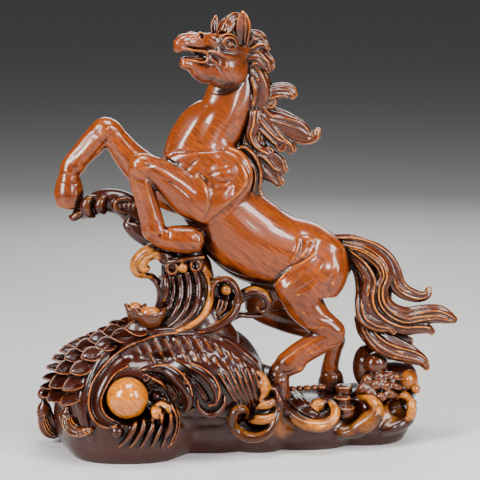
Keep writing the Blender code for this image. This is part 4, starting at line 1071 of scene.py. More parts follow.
def carve_leaves(base, tint):
    """Two long leaves that roll over at their ends, and the feathered lines to their right."""
    # Dark hollows in which the leaves lie
    base.mark([(160, 384), (170, 396), (174, 408)], 6.0, -3.0, taper=0.3)
    base.mark([(194, 380), (205, 394), (208, 404)], 6.0, -3.0, taper=0.3)
    base.mark([(176, 420), (196, 422), (216, 421), (232, 424)], 4.5, -3.5, taper=0.3)
    first = [
        (142, 370, 0, 1.8, 3), (152, 368.5, 3, 4.0, 5), (165, 370, 5, 6.4, 6.4), (177, 378, 6, 6.6, 7),
        (185.5, 388.5, 6, 5.6, 7), (189.5, 399, 6, 4.4, 6.4), (187, 408, 5, 3.4, 5.6),
        (179, 411.5, 4, 2.2, 4),
    ]
    second = [
        (178, 360, 1, 1.6, 3), (188, 365, 4, 3.0, 4.6), (200, 371, 5, 4.0, 5.4), (210.5, 380, 6, 4.4, 6),
        (216.5, 391.5, 6, 4.0, 6), (216.5, 402, 6, 3.0, 5), (210, 405, 5, 2.0, 4),
    ]
    for rows in (first, second):
        ridge(base, rows, ring=28, soft=0.8)
        edge = [(a + w * 0.7, b - w * 0.7, lift + 2.2, 1.0, 2.2) for a, b, lift, w, t in rows[1:6]]
        ridge(base, edge, ring=14, soft=0.4)
    for k in range(3):
        ridge(base, [
            (145 + 3.4 * k, 374.5 + 1.8 * k, 0.8, 1.1, 2.2), (158 + 2.0 * k, 377.5 + 3.0 * k, 2, 1.5, 3),
            (170 - 0.4 * k, 386 + 3.4 * k, 2, 1.5, 3), (177 - 1.8 * k, 397 + 2.4 * k, 1, 1.0, 2),
        ], ring=14, soft=0.4)
    for k in range(3):
        ridge(base, [
            (184 + 0.6 * k, 374 + 4.2 * k, 0.6, 1.2, 2.4), (194 + 0.4 * k, 380 + 3.4 * k, 1.4, 1.3, 2.6),
            (203 - 0.2 * k, 390 + 2.8 * k, 1.6, 1.3, 2.6), (209 - 1.6 * k, 400 + 1.0 * k, 1, 0.9, 1.8),
        ], ring=14, soft=0.4)
    # Curl under the second leaf
    ridge(base, [
        (197, 400, 3, 1.4, 2.4), (199.5, 408.5, 4, 2.6, 4), (208, 414.5, 5, 3.4, 5),
        (218, 412.5, 5, 3.2, 5), (223.5, 405, 4, 2.6, 4), (224.5, 396, 2, 1.4, 2.4),
    ], soft=0.6)
    ridge(base, [
        (171, 411, 2, 1.2, 2.2), (178, 414, 3, 1.6, 3), (187, 413, 3, 1.6, 3), (194, 408, 2, 1.0, 2),
    ], soft=0.5)
    # Feathered lines that run down to the C-curl
    for k in range(7):
        ridge(base, [
            (219 + 5.6 * k, 374 - 1.0 * k, 0.0, 1.2, 1.8), (226 + 5.2 * k, 385 - 0.4 * k, 1.0, 2.0, 3.0),
            (234 + 4.2 * k, 398 - 0.6 * k, 1.2, 2.0, 3.0), (240 + 3.2 * k, 408 - 1.4 * k, 0.4, 1.2, 2.0),
        ], ring=16, soft=0.4)
    # C-curl right of the pearl and the fins under it
    ridge(base, [
        (163.0, 414.0, 9, 2.0, 3.0), (160.0, 417.0, 9, 2.8, 4.0), (155.4, 414.5, 9.5, 3.8, 5.4),
        (155.0, 408.4, 9, 4.6, 6.4), (161.5, 405, 9, 4.8, 6.6), (168.5, 409, 8.5, 5.0, 6.6),
        (172, 418, 7.5, 4.8, 6.4), (172, 430, 6, 4.2, 5.8), (168, 441, 4, 3.0, 4.4),
        (163, 448, 2, 1.2, 2),
    ], soft=0.6)
    tint.paint(base.surface([156.0, 156.0, 161.0, 167.0], [414.0, 409.0, 405.0, 408.0], 2.0), 5.0)
    for shift, fat in ((5.8, 1.6), (9.4, 1.3)):
        ridge(base, [
            (166 + shift, 407 - shift * 0.3, 3, fat * 0.7, 2.4), (171.5 + shift * 0.8, 416, 4, fat, 3.4),
            (172 + shift * 0.7, 429, 3, fat, 3.2), (168.5 + shift * 0.5, 441, 2, fat * 0.8, 2.4),
            (165 + shift * 0.2, 448.5, 1, 0.7, 1.6),
        ], ring=16, soft=0.4)
    knob(base, 157.5, 411.5, -1.0, 4.2, 0.6)
    for k in range(5):
        x = 130.0 + 9.0 * k
        ridge(base, [
            (x + 5, 420.5 - 1.4 * k, 3, 1.8, 4.0), (x + 4.6, 426.5, 4.6, 3.3, 6.2),
            (x + 0.8, 434, 4.6, 3.4, 6.4), (x - 5.0 + 0.8 * k, 441.5, 3, 2.6, 4.6),
            (x - 11 + 1.6 * k, 448 - 0.6 * abs(k - 2), 1, 1.0, 2.0),
        ], ring=20, soft=0.25)


def carve_right(base, tint):
    """Lobes, C-curl, waves, crescents and rings on the middle and right."""
    # Lobes of the C-curl, and the curl itself
    ridge(base, [
        (257, 372, 2, 1.6, 3), (261.5, 377, 4, 4.4, 6), (263.5, 386, 5.5, 7.0, 8),
        (262.5, 394, 5, 6.0, 7), (259.5, 400, 3, 2.4, 4),
    ], soft=0.6, tint=tint, reach=1.2)
    ridge(base, [
        (255.5, 407, 3, 2.4, 4), (261, 405.5, 5, 4.6, 6.4), (268, 404, 5.5, 5.2, 6.6),
        (274, 401, 4, 3.2, 4),
    ], soft=0.5, tint=tint, reach=1.2)
    ridge(base, [
        (250, 420, 3, 2.4, 4), (257, 419.5, 5.5, 5.0, 6.6), (266, 419, 6, 5.4, 7),
        (272.5, 415, 4, 3.4, 5),
    ], soft=0.5, tint=tint, reach=1.2)
    base.mark([(243, 421), (249, 428), (259, 430), (267, 427)], 3.2, -4.5, taper=0.3)
    ridge(base, [
        (246.5, 417, 6, 1.4, 2.6), (246.5, 411.5, 6.5, 2.8, 4.4), (240.5, 408.6, 7, 4.0, 6),
        (233, 414, 7, 4.8, 7), (232.5, 424.5, 7, 5.0, 7.4), (240.5, 433.6, 7, 5.4, 7.6),
        (253, 437.5, 7, 5.4, 7.6), (266, 433.6, 7, 5.2, 7.4), (274, 424, 7, 5.0, 7),
        (277.6, 411, 6, 4.4, 6.4), (277, 398, 5, 3.6, 5.6), (273, 387, 3, 2.2, 4),
    ], ring=32, soft=0.6, tint=tint, reach=1.0)
    # First wave: a leaf with a rolled rim and a ball head
    ridge(base, [
        (276, 390, 2, 2.4, 4.4), (281, 402, 4.5, 3.8, 6), (290, 414, 6, 5.0, 7.4),
        (303, 423, 7, 6.0, 8.4), (318, 426, 8, 6.6, 9), (331, 421.5, 8, 6.2, 9),
        (335.5, 411.5, 8, 5.4, 8), (330.5, 403, 7, 4.2, 6.6), (322, 400.5, 6, 2.6, 4.4),
    ], ring=36, soft=7.0)
    gild(base, tint, [(310, 421), (322, 424), (332, 419), (336, 411), (331, 403)], 1.0, 5.0)
    base.mark([(290, 402), (303, 411), (316, 413), (325, 409)], 6.0, -7.0, taper=0.3)
    base.join(ball(base.surface(318.5, 405, -1.0)[0], (9.0, 8.0, 7.6)), 0.6)
    tint.paint(base.surface([318.5], [405], 2.0), 7.0)
    for k in range(5):
        ridge(base, [
            (281 + 3.6 * k, 391 - 0.2 * k, 1, 1.1, 2), (290 + 3.6 * k, 402 - 0.8 * k, 1.2, 1.4, 2.6),
            (303 + 2.4 * k, 413 - 1.6 * k, 1.2, 1.3, 2.6), (317 + 0.4 * k, 419 - 1.8 * k, 0.8, 0.8, 1.6),
        ], ring=12, soft=0.4)
    # Second wave: a broad crescent round a hollow with bowls in it
    ridge(base, [
        (358, 392, 3, 2.2, 4), (366, 395.5, 6, 4.6, 7), (373.5, 402, 8, 6.8, 9), (376, 412, 8.5, 8.0, 10),
        (369, 421, 6, 10.0, 11), (358, 428, 4, 9.6, 10), (347, 432, 2, 7.6, 8), (338, 434.5, 0, 4.0, 5),
    ], ring=36, soft=7.0)
    sink(base, (350, 408), (12.5, 9, 12), 1.5)
    gild(base, tint, [(361, 392), (370, 396), (379, 405), (384, 414)], 0.0, 6.0)
    # Third wave
    ridge(base, [
        (396, 400, 3, 1.6, 3), (398, 395, 5.5, 3.2, 5), (405.5, 395.5, 6, 4.2, 6.4),
        (411, 403, 6.5, 4.8, 7), (411, 413, 6.5, 5.6, 7.6), (404, 421.5, 4.5, 7.0, 8.4),
        (393, 427.5, 2, 6.0, 7), (383, 431, 0, 3.4, 5),
    ], ring=30, soft=7.0)
    sink(base, (396, 409), (9.5, 8, 9.5), 1.5)
    gild(base, tint, [(399, 394), (408, 397), (413, 406), (411, 416)], 0.0, 5.0)


def carve_back(base):
    """Plainer scrolls on the side away from the viewer."""
    for side, reach, high in (
        (-118.0, 34.0, 52.0), (-36.0, 30.0, 50.0), (52.0, 17.0, 30.0), (122.0, 17.0, 30.0),
    ):
        rows = []
        for k in range(15):
            turn = math.radians(200.0 - 34.0 * k)
            share = 1.0 - 0.058 * k
            x = side + reach * share * math.cos(turn)
            z = high + reach * share * math.sin(turn)
            steps = np.arange(92.0, 0.0, -0.8)
            inside = base.value(np.stack([
                np.full(len(steps), x), steps, np.full(len(steps), z),
            ], -1)) < 0.0
            y = steps[inside.argmax()] if inside.any() else 40.0
            rows.append((x, y, z, 3.6 * share + 0.8, 4.6 * share + 0.8))
        base.join(tube(rows, place=plain, facing=(0, 1, 0), steps=5, ring=20), 0.8)


def warm_foot(base, tint):
    """Golden tint at half strength low on the right half of the foot."""
    for across, down, reach in (
        (284, 428, 10.0), (302, 427, 12.0), (322, 426, 12.0), (346, 424, 12.0), (366, 421, 12.0),
        (386, 416, 11.0), (402, 408, 9.0),
    ):
        tint.paint(base.surface([float(across)], [float(down)], 0.0), reach, 0.5)


def carve_strokes(base, tint):
    """Shallow strokes in two rows where the photograph's base has its inscription."""
    lean = 2.6
    arch = spline([(a, b) for a, b, w in ARCH[7:]], 10)
    for row, first, last in ((0, 136, 240), (1, 152, 238)):
        count = 11 - 2 * row
        for k in range(count):
            across = first + (last - first) * k / (count - 1.0)
            down = np.interp(across, arch[:, 0], arch[:, 1]) + 14.0 + 12.5 * row
            stroke = [(across - lean, down - 4.6), (across, down), (across + lean, down + 4.6)]
            base.mark(stroke, 1.8, 2.4, taper=0.3)
            gild(base, tint, stroke, 0.0, 1.6, 0.4)
            beside = [(a + 3.0, b + 0.4) for a, b in stroke]
            base.mark(beside, 1.0, -1.2, taper=0.3)


# Flutes of the wave, from the crest down to the arch band
FLUTES = (
    ((166, 279), (166.5, 289), (164.5, 300), (159, 311), (149, 320), (137, 326)),
    ((172.5, 277), (173.5, 289), (172, 300), (167, 311.5), (157, 321), (144, 328)),
    ((179.5, 275), (181.5, 288), (180.3, 300), (175, 312.5), (165, 322.5), (152, 329)),
    ((187, 272), (189.7, 286), (188.6, 300), (183.4, 313), (173, 323.5), (160, 330)),
    ((194.5, 270), (198.3, 284), (197.7, 299), (192.3, 313.5), (181, 324.5), (168, 331)),
    ((203, 268), (208.6, 278), (210.6, 289), (209.2, 302), (203.4, 315), (191, 325), (177, 331.5)),
)


def wave_field(tint):
    """Wave column under the chest, its curls, and the branch under the far hoof."""
    wave = Field((-190, -80, 92), (48, 42, 272), WAVE_STEP)
    wave.join(tube([
        (188, 244, -14, 15, 15), (186, 260, -12, 24, 19), (188, 282, -10, 27, 22),
        (190, 303, -13, 30, 26), (190, 318, -19, 37, 28), (190, 332, -21, 47, 28),
        (190, 345, -20, 50, 22),
    ], ring=48))
    wave.soften()
    # Fine lines at the left edge, then the flutes, widest at the right
    for k in range(5):
        wave.join(tube([
            (160 + 2.4 * k, 276 - 0.6 * k, -24 - 1.5 * k, 0.9, 3),
            (159 + 2.5 * k, 290, -27 - 1.5 * k, 1.1, 3.4),
            (158.6 + 2.0 * k, 302 + 0.6 * k, -27 - 1.5 * k, 1.0, 3.2),
            (156 + 1.6 * k, 312 + 0.8 * k, -27, 0.8, 2.6),
        ], ring=12), 0.3)
    flutes = []
    for k, line in enumerate(FLUTES):
        last = k == len(FLUTES) - 1
        fat = 4.0 if last else 3.5
        rows = []
        for i, (a, b) in enumerate(line):
            share = i / (len(line) - 1.0)
            rows.append((a, b, 1.2, fat * (1.0 - 0.5 * share ** 5), 4.6))
        flutes.append((rows, last))
    plain_column = Field((-190, -80, 92), (48, 42, 272), WAVE_STEP)
    plain_column.data = wave.data.copy()
    places = plain_column.surface
    for rows, last in flutes:
        wave.join(tube(rows, place=places, ring=22), 0.3)
        middle = spline(rows, 6)
        tint.paint(
            places(middle[:, 0], middle[:, 1], 4.0), middle[:, 3] if last else 1.4, 1.0 if last else 0.5,
        )
    carve_left_curl(wave, tint)
    carve_bead_scroll(wave, tint)
    carve_right_curl(wave, tint)
    carve_branch(wave, tint)
    wave.soften()
    return wave


def carve_left_curl(wave, tint):
    """Crest that rolls over to the left in two lobes, and the rings along the top."""
    for shift, depth, fat in ((0.0, -24, 5.6), (7.0, -30, 4.6)):
        rows = [
            (180 - 0.3 * shift, 266 + shift * 0.2, depth + 4, 8, 9),
            (167, 255 + shift * 0.5, depth, 8, 9),
            (156 + 0.4 * shift, 250 + shift * 0.6, depth, fat + 1.4, 8.4),
            (146 + 0.8 * shift, 251.5 + shift * 0.6, depth, fat, 8),
            (138.5 + 0.9 * shift, 258 + shift * 0.3, depth, fat, 7.6),
            (135.5 + 1.0 * shift, 266 - shift * 0.1, depth, fat * 1.06, 7.4),
            (138 + 0.9 * shift, 272.5 - shift * 0.5, depth, fat * 0.9, 6.4),
            (143.5 + 0.7 * shift, 272.5 - shift * 0.6, depth, fat * 0.6, 5),
        ]
        ridge(wave, rows, place=from_sheet, ring=30, soft=0.8)
        fine = spline(rows[3:], 4)
        tint.paint(from_sheet(fine[:, 0], fine[:, 1], fine[:, 2] - 3.0), 7.5)
    wave.cut(ball(from_sheet(152.5, 263.5, -37), (4.2, 6, 5.6)), 0.8)
    wave.join(tube([
        (141, 276, -22, 2.6, 4.6), (149, 275.6, -23, 3.4, 6), (156, 281, -24, 3.6, 7),
        (159.5, 290, -24, 3.2, 7), (159, 300, -24, 2.6, 6), (156, 309, -22, 2.2, 5),
    ], ring=22), 1.0)
    wave.mark([(172, 258), (163, 256), (156, 257), (150, 260)], 1.3, -1.8)
    wave.mark([(176, 268), (167, 265), (160, 268), (157, 274)], 1.4, -1.8)
    for across, down, radius in ((172, 268.5, 5.6), (195.5, 265.5, 5.4)):
        rows = arc_rows(across, down, -36.0, radius, -150, 200, 2.0, 4.2, count=11, shrink=0.8)
        ridge(wave, rows, place=from_sheet, soft=0.4, ring=16, tint=tint, reach=1.2)
        wave.cut(ball(from_sheet(across + 0.6, down, -40.0), (2.6, 4.0, 2.6)), 0.4)
    wave.join(ball(from_sheet(183, 267.6, -38.0), (4.8, 4.6, 5.4)), 0.4)
    tint.paint(from_sheet([183.0, 183.0], [266.0, 270.0], -40.0), 5.0)
    wave.join(tube([
        (164, 262, -34, 2.0, 4), (176, 260.5, -37, 2.8, 5), (190, 258, -38, 2.8, 5),
        (203, 257, -36, 2.0, 4),
    ]), 0.6)


def carve_bead_scroll(wave, tint):
    """C-shaped rim on the right of the flutes, with a gold bead in its hollow."""
    wave.join(tube([
        (216, 284, -18, 10, 12), (224, 300, -18, 12, 14), (216, 318, -20, 16, 16),
    ], ring=36), 2.0)
    wave.cut(ball(from_sheet(224.5, 292, -35), (9.6, 7.5, 11)), 1.0)
    wave.cut(ball(from_sheet(221.5, 306, -38), (8, 5.5, 10)), 1.0)
    for k in range(3):
        wave.join(tube([
            (219.5 + 4.2 * k, 299 + 1.2 * k, -31, 0.9, 2.6),
            (216.5 + 4.0 * k, 309 + 0.2 * k, -33, 1.3, 3.4),
            (209 + 4.2 * k, 319.5 - 1.6 * k, -36, 1.1, 3),
        ], ring=12), 0.4)
    ridge(wave, [
        (212, 297, -34, 1.6, 4), (213.5, 286, -35, 2.4, 5), (220, 279.6, -35, 2.8, 6),
        (229.5, 280, -35, 3.0, 6.4), (236, 287.5, -35, 3.2, 7.4), (238.2, 299, -35, 3.6, 8),
        (235.4, 310.5, -36, 4.0, 8.8), (227, 320, -38, 4.2, 9), (214, 327.5, -41, 4.0, 8.6),
        (199, 331.5, -44, 3, 6),
    ], place=from_sheet, ring=30, soft=0.8, tint=tint, reach=1.1)
    bead = from_sheet(226.8, 289.4, -35)
    wave.join(ball(bead, (5.7, 5.7, 5.7)), 0.3)
    tint.paint([bead], 6.0)


def carve_right_curl(wave, tint):
    """Curl that rolls over to the right, with its pale lower lip."""
    rows = [
        (226, 314, -20, 6, 8), (235, 303, -22, 6, 8.4), (243.5, 295, -23, 6.0, 8.6),
        (253.5, 291, -24, 5.6, 8.6), (263.5, 294.5, -24, 5.4, 8.4), (268.5, 302.5, -24, 5.0, 8),
        (266, 310, -24, 3.8, 6.4), (260, 310.5, -24, 2.6, 4.6), (257.5, 306, -24, 1.5, 3),
    ]
    ridge(wave, rows, place=from_sheet, ring=30, soft=0.8)
    fine = spline(rows[2:6], 4)
    tint.paint(from_sheet(fine[:, 0], fine[:, 1] - 2.0, fine[:, 2] - 4.0), 3.0)
    wave.join(tube([
        (224, 320, -18, 6, 8), (239, 314.5, -18, 3.6, 7), (250, 315.5, -18, 2.8, 5.4),
        (262, 315, -18, 1.8, 3.4),
    ]), 1.0)
    wave.mark([(236, 305), (245, 298.5), (254, 296), (261.5, 299.5), (263, 306)], 1.3, -2.2)


def carve_branch(wave, tint):
    """Branch that carries the far hoof, with the second leaf under the near hoof."""
    wave.join(tube([
        (178, 256, -4, 15, 13), (160, 243, 2, 14, 12), (143, 225, 6, 13.5, 11), (127, 206, 9, 13, 10),
        (108, 200.5, 10, 12, 10), (92, 205.5, 10, 11, 9), (81, 212, 10, 8, 8), (74, 217, 10, 4, 5),
    ], ring=32), 3.0)
    ridge(wave, [
        (178, 254, -14, 8, 8), (162, 246.5, -13, 7, 7), (147, 238.5, -12, 8.4, 7),
        (135, 230.5, -10, 8.0, 6.4), (127.5, 224.5, -8, 5.0, 5), (129, 219.5, -6, 2, 3),
    ], place=from_sheet, ring=24, soft=1.0)
    # Lobes that hang along the branch, and the roll under the hoof
    lobes = (
        (
            (95, 197, 4, 2, 4), (89, 199.5, 1, 4.6, 6), (86, 207, 0, 6.6, 7), (88.5, 213.5, 1, 4.6, 6),
            (94, 216, 4, 2, 4),
        ),
        (
            (108, 196.5, 3, 2, 4), (102.5, 199.5, 1, 5, 6), (100, 206.5, 0, 6.4, 7),
            (104, 211.5, 2, 3.6, 5),
        ),
        (
            (84.5, 213, 6, 3, 5), (79, 214.5, 4, 4.6, 6), (73.5, 217.5, 4, 4.0, 5.4),
            (70.5, 216.5, 6, 2, 3),
        ),
        (
            (132, 211.5, 2, 2, 3), (123, 212.5, 1, 3, 4), (115.5, 208, 0, 3.2, 4.4),
            (116.5, 201.5, 0, 3, 4.4), (124, 199, 1, 2.8, 4), (131, 201, 2, 2, 3),
        ),
    )
    for rows in lobes:
        wave.join(tube(rows, ring=28), 0.5)
        crest = spline(rows[1:-1], 4)
        tint.paint(from_sheet(crest[:, 0], crest[:, 1] - 2.0, crest[:, 2] - 6.0), 3.2, 0.4)
    wave.mark([(158, 248), (146, 242), (134, 235), (129, 228)], 1.2, -1.6)
    wave.mark([(152, 236), (140, 226), (132, 216)], 1.4, -1.2)
    for k in range(4):
        wave.join(ball(from_sheet(120.5 + 4.6 * k, 205.5 + 0.4 * k, -0.5), (2.8, 3.0, 3.6)), 0.4)


def scale_leaf(root, tip, out, wide):
    """One leaf scale, dished, with a keel along its middle, as rows of a thin tube."""
    lengths = np.array([0.0, 0.15, 0.35, 0.55, 0.75, 0.9, 1.0])
    widths = wide * np.array([0.6, 0.85, 1.0, 0.96, 0.72, 0.42, 0.12])
    along = tip - root
    back = -(out - along * (out @ along) / (along @ along))
    back /= np.linalg.norm(back)
    across = np.cross(along / np.linalg.norm(along), back)
    parts = []
    for side in (-1.0, 1.0):
        middle = root + along * lengths[:, None] - back * (1.4 * lengths ** 2)[:, None]
        middle = middle + across * (side * widths * 0.5)[:, None]
        tilt = 0.42 * side
        flat = across * math.cos(tilt) - back * math.sin(tilt)
        deep = back * math.cos(tilt) + across * math.sin(tilt)
        count = len(lengths)
        step = np.repeat((along / np.linalg.norm(along))[None], count, 0)
        parts.append(skin(
            middle, np.maximum(widths * 0.60, 0.7), np.full(count, 0.95), step,
            np.repeat(deep[None], count, 0), np.repeat(flat[None], count, 0), 20, None, (0.6, 0.9),
        ))
    return parts


def scales_field(base):
    """Columns of overlapping leaf scales over the left shoulder of the base."""
    leaves = Field((-208, -86, 18), (-80, 66, 140), LEAF_STEP)
    outer = spline([(41, 393), (42.5, 378), (50, 361), (63, 347), (80, 338), (99, 330), (120, 318)], 6)
    inner = spline([(73, 402), (77, 383), (86, 365), (100, 350), (118, 340), (136, 332), (152, 325)], 6)
    for column, share, count in ((2, 0.86, 7), (1, 0.46, 8), (0, 0.06, 11)):
        for i in range(count):
            spot = (i + 0.25 + 0.25 * (column % 2)) / count
            index = spot * (len(outer) - 1)
            near = np.array([np.interp(index, np.arange(len(outer)), outer[:, k]) for k in range(2)])
            far = np.array([np.interp(index, np.arange(len(inner)), inner[:, k]) for k in range(2)])
            u, v = near * (1.0 - share) + far * share
            low = 1.0 - spot
            if column == 0:
                edge = u + 15.0
                root = base.surface(max(edge, 58.0), v + 4.0, -1.0)[0]
                root = root + np.array([min(edge - 58.0, 0.0), 3.0, 0.0])
                lean = np.array([-20.0 + 2.0 * low, -2.0, 4.0 - 6.0 * low])
                face = np.array([0.05, -0.22, 0.97])
                wide = 8.6
            else:
                root = base.surface(u + 9.0, v + 1.0, 0.4)[0]
                lean = np.array([-20.0 + 3.0 * low, -6.0, 3.0 - 12.0 * low])
                face = np.array([-0.30, -0.62, 0.66])
                wide = 9.6
            for part_mesh in scale_leaf(root, root + lean, face, wide):
                leaves.join(part_mesh, 0.3)
    # Far side of the same shoulder, plainer
    for i in range(2, len(outer) - 2, 4):
        u, v = outer[i]
        root = from_sheet(u + 14.0, v + 2.0, 22.0)
        for part_mesh in scale_leaf(
            root, root + np.array([-15.0, 4.0, 0.0]), np.array([-0.2, 0.5, 0.8]), 7.5,
        ):
            leaves.join(part_mesh, 0.3)
    return leaves


# Tassels at the left end: bead, cap, collar and skirt, hung free or laid on the base
FREE_TASSEL = (
    (43.5, 394, -14),
    (
        (44.0, 401.5, -12, 3.4, 3.4), (44.2, 405, -12, 6.0, 5.6), (44.4, 409, -12, 7.4, 7),
        (44.8, 412, -12, 7, 6.6),
    ),
    ((44.3, 410.6, -12, 8.0, 7.4), (44.9, 414.4, -12, 8.0, 7.4)),
    (
        (45.4, 413, -12, 8.2, 6.4), (46, 418, -12, 9.2, 7), (47.6, 424, -12, 10.4, 7.2),
        (50.6, 429, -11, 10.4, 7), (54.8, 432.0, -10, 8, 6), (59.6, 432.4, -8, 4.4, 4),
        (63, 430.6, -6, 1.8, 2),
    ),
)
LAID_TASSEL = (
    (65.5, 401.5, 3),
    ((67.2, 408.5, 3, 3.4, 4), (67, 412, 3, 5.8, 5.6), (66.6, 415, 3, 6.8, 6.4), (67, 418, 3, 6.6, 6.4)),
    ((66.0, 415.4, 3, 7.6, 7), (67.6, 419.4, 3, 7.6, 7)),
    (
        (67.8, 419, 3, 7.6, 6), (69.6, 423.5, 3, 9, 6.6), (73, 427.6, 3, 9.6, 6.6),
        (78.2, 430.6, 3, 8.4, 6), (84.6, 431.8, 3, 5, 4.6), (91.4, 429.8, 3, 1.8, 2),
    ),
)


def tassels_field(base):
    """Two beads, each with a capped tassel, at the left end."""
    ends = Field((-212, -104, 4), (-126, 40, 74), LEAF_STEP)
    radius = BEAD_DIAMETER / 2.0 / UNIT
    for seed, place, (bead, cap, collar, skirt) in (
        (120, from_sheet, FREE_TASSEL), (121, base.surface, LAID_TASSEL),
    ):
        ends.join(ball(place(*bead).reshape(3), (radius, radius, radius)))
        ends.join(tube(cap, place=place), 0.4)
        first, last = np.array(collar[0]), np.array(collar[1])
        for share in (0.15, 0.85):
            middle = first * (1.0 - share) + last * share
            step = (last - first) * 0.16
            ends.join(tube(
                [tuple(middle - step), tuple(middle + step)], place=place, caps=(0.25, 0.25),
            ), 0.3)
        add_lock(ends, skirt, 7, seed, place=place, swing=0.05)
    return ends


def boat(centre, length, wide):
    """Ingot: a flared hull with a rim that rises at both ends, and a broad dome."""
    x, y, z = centre
    hull = tube([
        (x, y, z - 9, length * 0.62, wide * 0.62), (x, y, z - 5, length * 0.76, wide * 0.82),
        (x, y, z, length * 0.90, wide * 0.94), (x, y, z + 3.6, length * 0.96, wide),
    ], place=plain, ring=48, caps=(0.3, 0.1))
    rim = []
    for k in range(17):
        turn = math.radians(22.5 * k)
        lift = 3.4 + 4.2 * math.cos(turn) ** 4
        rim.append((
            x + length * 0.94 * math.cos(turn), y + wide * 0.94 * math.sin(turn), z + lift, 1.5, 1.7,
        ))
    dome = ball((x, y, z + 4.0), (length * 0.62, wide * 0.70, 6.4), segments=48, rings=32)
    return gather([hull, tube(rim, place=plain, facing=(0.0, 0.0, 1.0), steps=3, ring=14), dome])


def ring_round(centre, radius, fat):
    """Level ring of round section."""
    rows = []
    for k in range(13):
        turn = math.radians(30.0 * k)
        rows.append((
            centre[0] + radius * math.cos(turn), centre[1] + radius * math.sin(turn), centre[2], fat, fat,
        ))
    return tube(rows, place=plain, facing=(0.0, 0.0, 1.0), steps=3, ring=12)


def dark_ornaments():
    """Bowls, dark ball, the hump behind it and the lumps between the waves on the right."""
    cluster = Field((44, -72, 10), (196, 60, 126), BASE_STEP)
    for across, down, depth, radius in ((344, 388, 0, 9), (342, 399, -14, 8.5), (345.5, 409, -27, 9)):
        centre = from_sheet(across, down, depth)
        cluster.join(ball(centre - np.array([0.0, 0.0, 3.0]), (radius, radius, radius * 0.75)))
        cluster.join(ring_round(centre + np.array([0.0, 0.0, 1.2]), radius * 0.86, 1.6), 0.4)
        cluster.join(ball(centre + np.array([0.0, 0.0, 1.0]), (radius * 0.5, radius * 0.5, 2.6)), 0.4)
    cluster.join(ball(from_sheet(367, 366, 12), (15, 13, 23), segments=56, rings=36))
    cluster.join(ball(from_sheet(375.5, 363.5, 1), (12.4, 12, 12.2), segments=56, rings=36), 0.6)
    cluster.join(tube([
        (376, 392, 10, 15, 17), (378, 380, 10, 12, 13), (386, 372, 10, 8, 8),
    ], ring=40), 3.0)
    lumps = (
        (363, 388, -9, 6.0, -0.6), (371, 393, -12, 6.4, -0.5), (381, 397, -16, 6.0, -0.2),
        (390, 394, -14, 5.4, 0.2), (367, 380, -7, 6.4, -0.9), (376, 385, -11, 7.0, -0.5),
        (386, 386, -11, 6.0, -0.1), (394.5, 386, -9, 4.6, 0.3), (379, 377, -6, 6.0, -0.7),
        (389, 376, -5, 5.6, -0.3), (396, 377, -4, 4.4, 0.2),
    )
    for across, down, depth, wide, turn in lumps:
        u, v = 6.4 * math.cos(turn), 6.4 * math.sin(turn)
        cluster.join(tube([
            (across - u, down - v, depth + 2, wide * 0.45, 3), (across, down, depth - 3, wide * 0.84, 5),
            (across + u, down + v, depth + 2, wide * 0.45, 3),
        ], steps=6, ring=22), 1.2)
        cluster.mark([
            (across - u, down - v), (across + 0.4, down + 0.8), (across + u, down + v),
        ], 0.9, -1.1)
    for across, down, depth, radius in ((384, 382, -13, 3.8), (371, 387, -13, 3.4), (392, 381, -9, 3.4)):
        cluster.join(ball(from_sheet(across, down, depth), (radius * 1.1, radius, radius * 0.9)), 0.5)
    for k in range(5):
        bead = from_sheet(292 + 7.5 * k, 388.5 - 0.4 * k, -14 + 3 * (k % 2))
        cluster.join(ball(bead, (4.2, 3.8, 3.0)), 0.3)
    return cluster.mesh()


def gold_ornaments():
    """Ingots on the shoulder of the base and the ochre balls at the right."""
    out = [boat(from_sheet(150, 316.5, -48), 16, 12), boat(from_sheet(135.5, 312, -30), 10.5, 9)]
    out.append(ball(from_sheet(405.5, 380, 10), (13, 13, 12.5), segments=56, rings=36))
    out.append(ball(from_sheet(415.5, 389, -1), (5, 5, 5), segments=32, rings=22))
    return gather(out)


def relief(low, high, meshes):
    """Distances to the whole statue, from which deep hollows are read for painted shade with dark glaze.
    """
    whole = Field(low, high, WHOLE_STEP, WIDE_BAND)
    whole.join(gather(meshes))
    return whole


def trilinear(field, points):
    """Distance between the grid's points."""
    at = points / field.step - field.first
    size = np.array(field.data.shape)
    at = np.clip(at, 0.0, size - 1.001)
    low = at.astype(int)
    t = at - low
    out = np.zeros(len(points))
    for dx in (0, 1):
        for dy in (0, 1):
            for dz in (0, 1):
                weight = np.ones(len(points))
                for axis, near in enumerate((dx, dy, dz)):
                    weight *= t[:, axis] if near else 1 - t[:, axis]
                out += weight * field.data[low[:, 0] + dx, low[:, 1] + dy, low[:, 2] + dz]
    return out


def vertex_normals(points, quads, tris):
    """Unit normals at the points, larger faces counting for more."""
    normals = np.zeros_like(points)
    faces = [(quads, 4), (tris, 3)]
    for corners, count in faces:
        if not len(corners):
            continue
        a, b, c = points[corners[:, 0]], points[corners[:, 1]], points[corners[:, 2]]
        n = np.cross(b - a, c - a)
        if count == 4:
            n = n + np.cross(c - a, points[corners[:, 3]] - a)
        for i in range(count):
            for axis in range(3):
                normals[:, axis] += np.bincount(corners[:, i], n[:, axis], len(points))
    return normals / (np.linalg.norm(normals, axis=1)[:, None] + 1e-12)


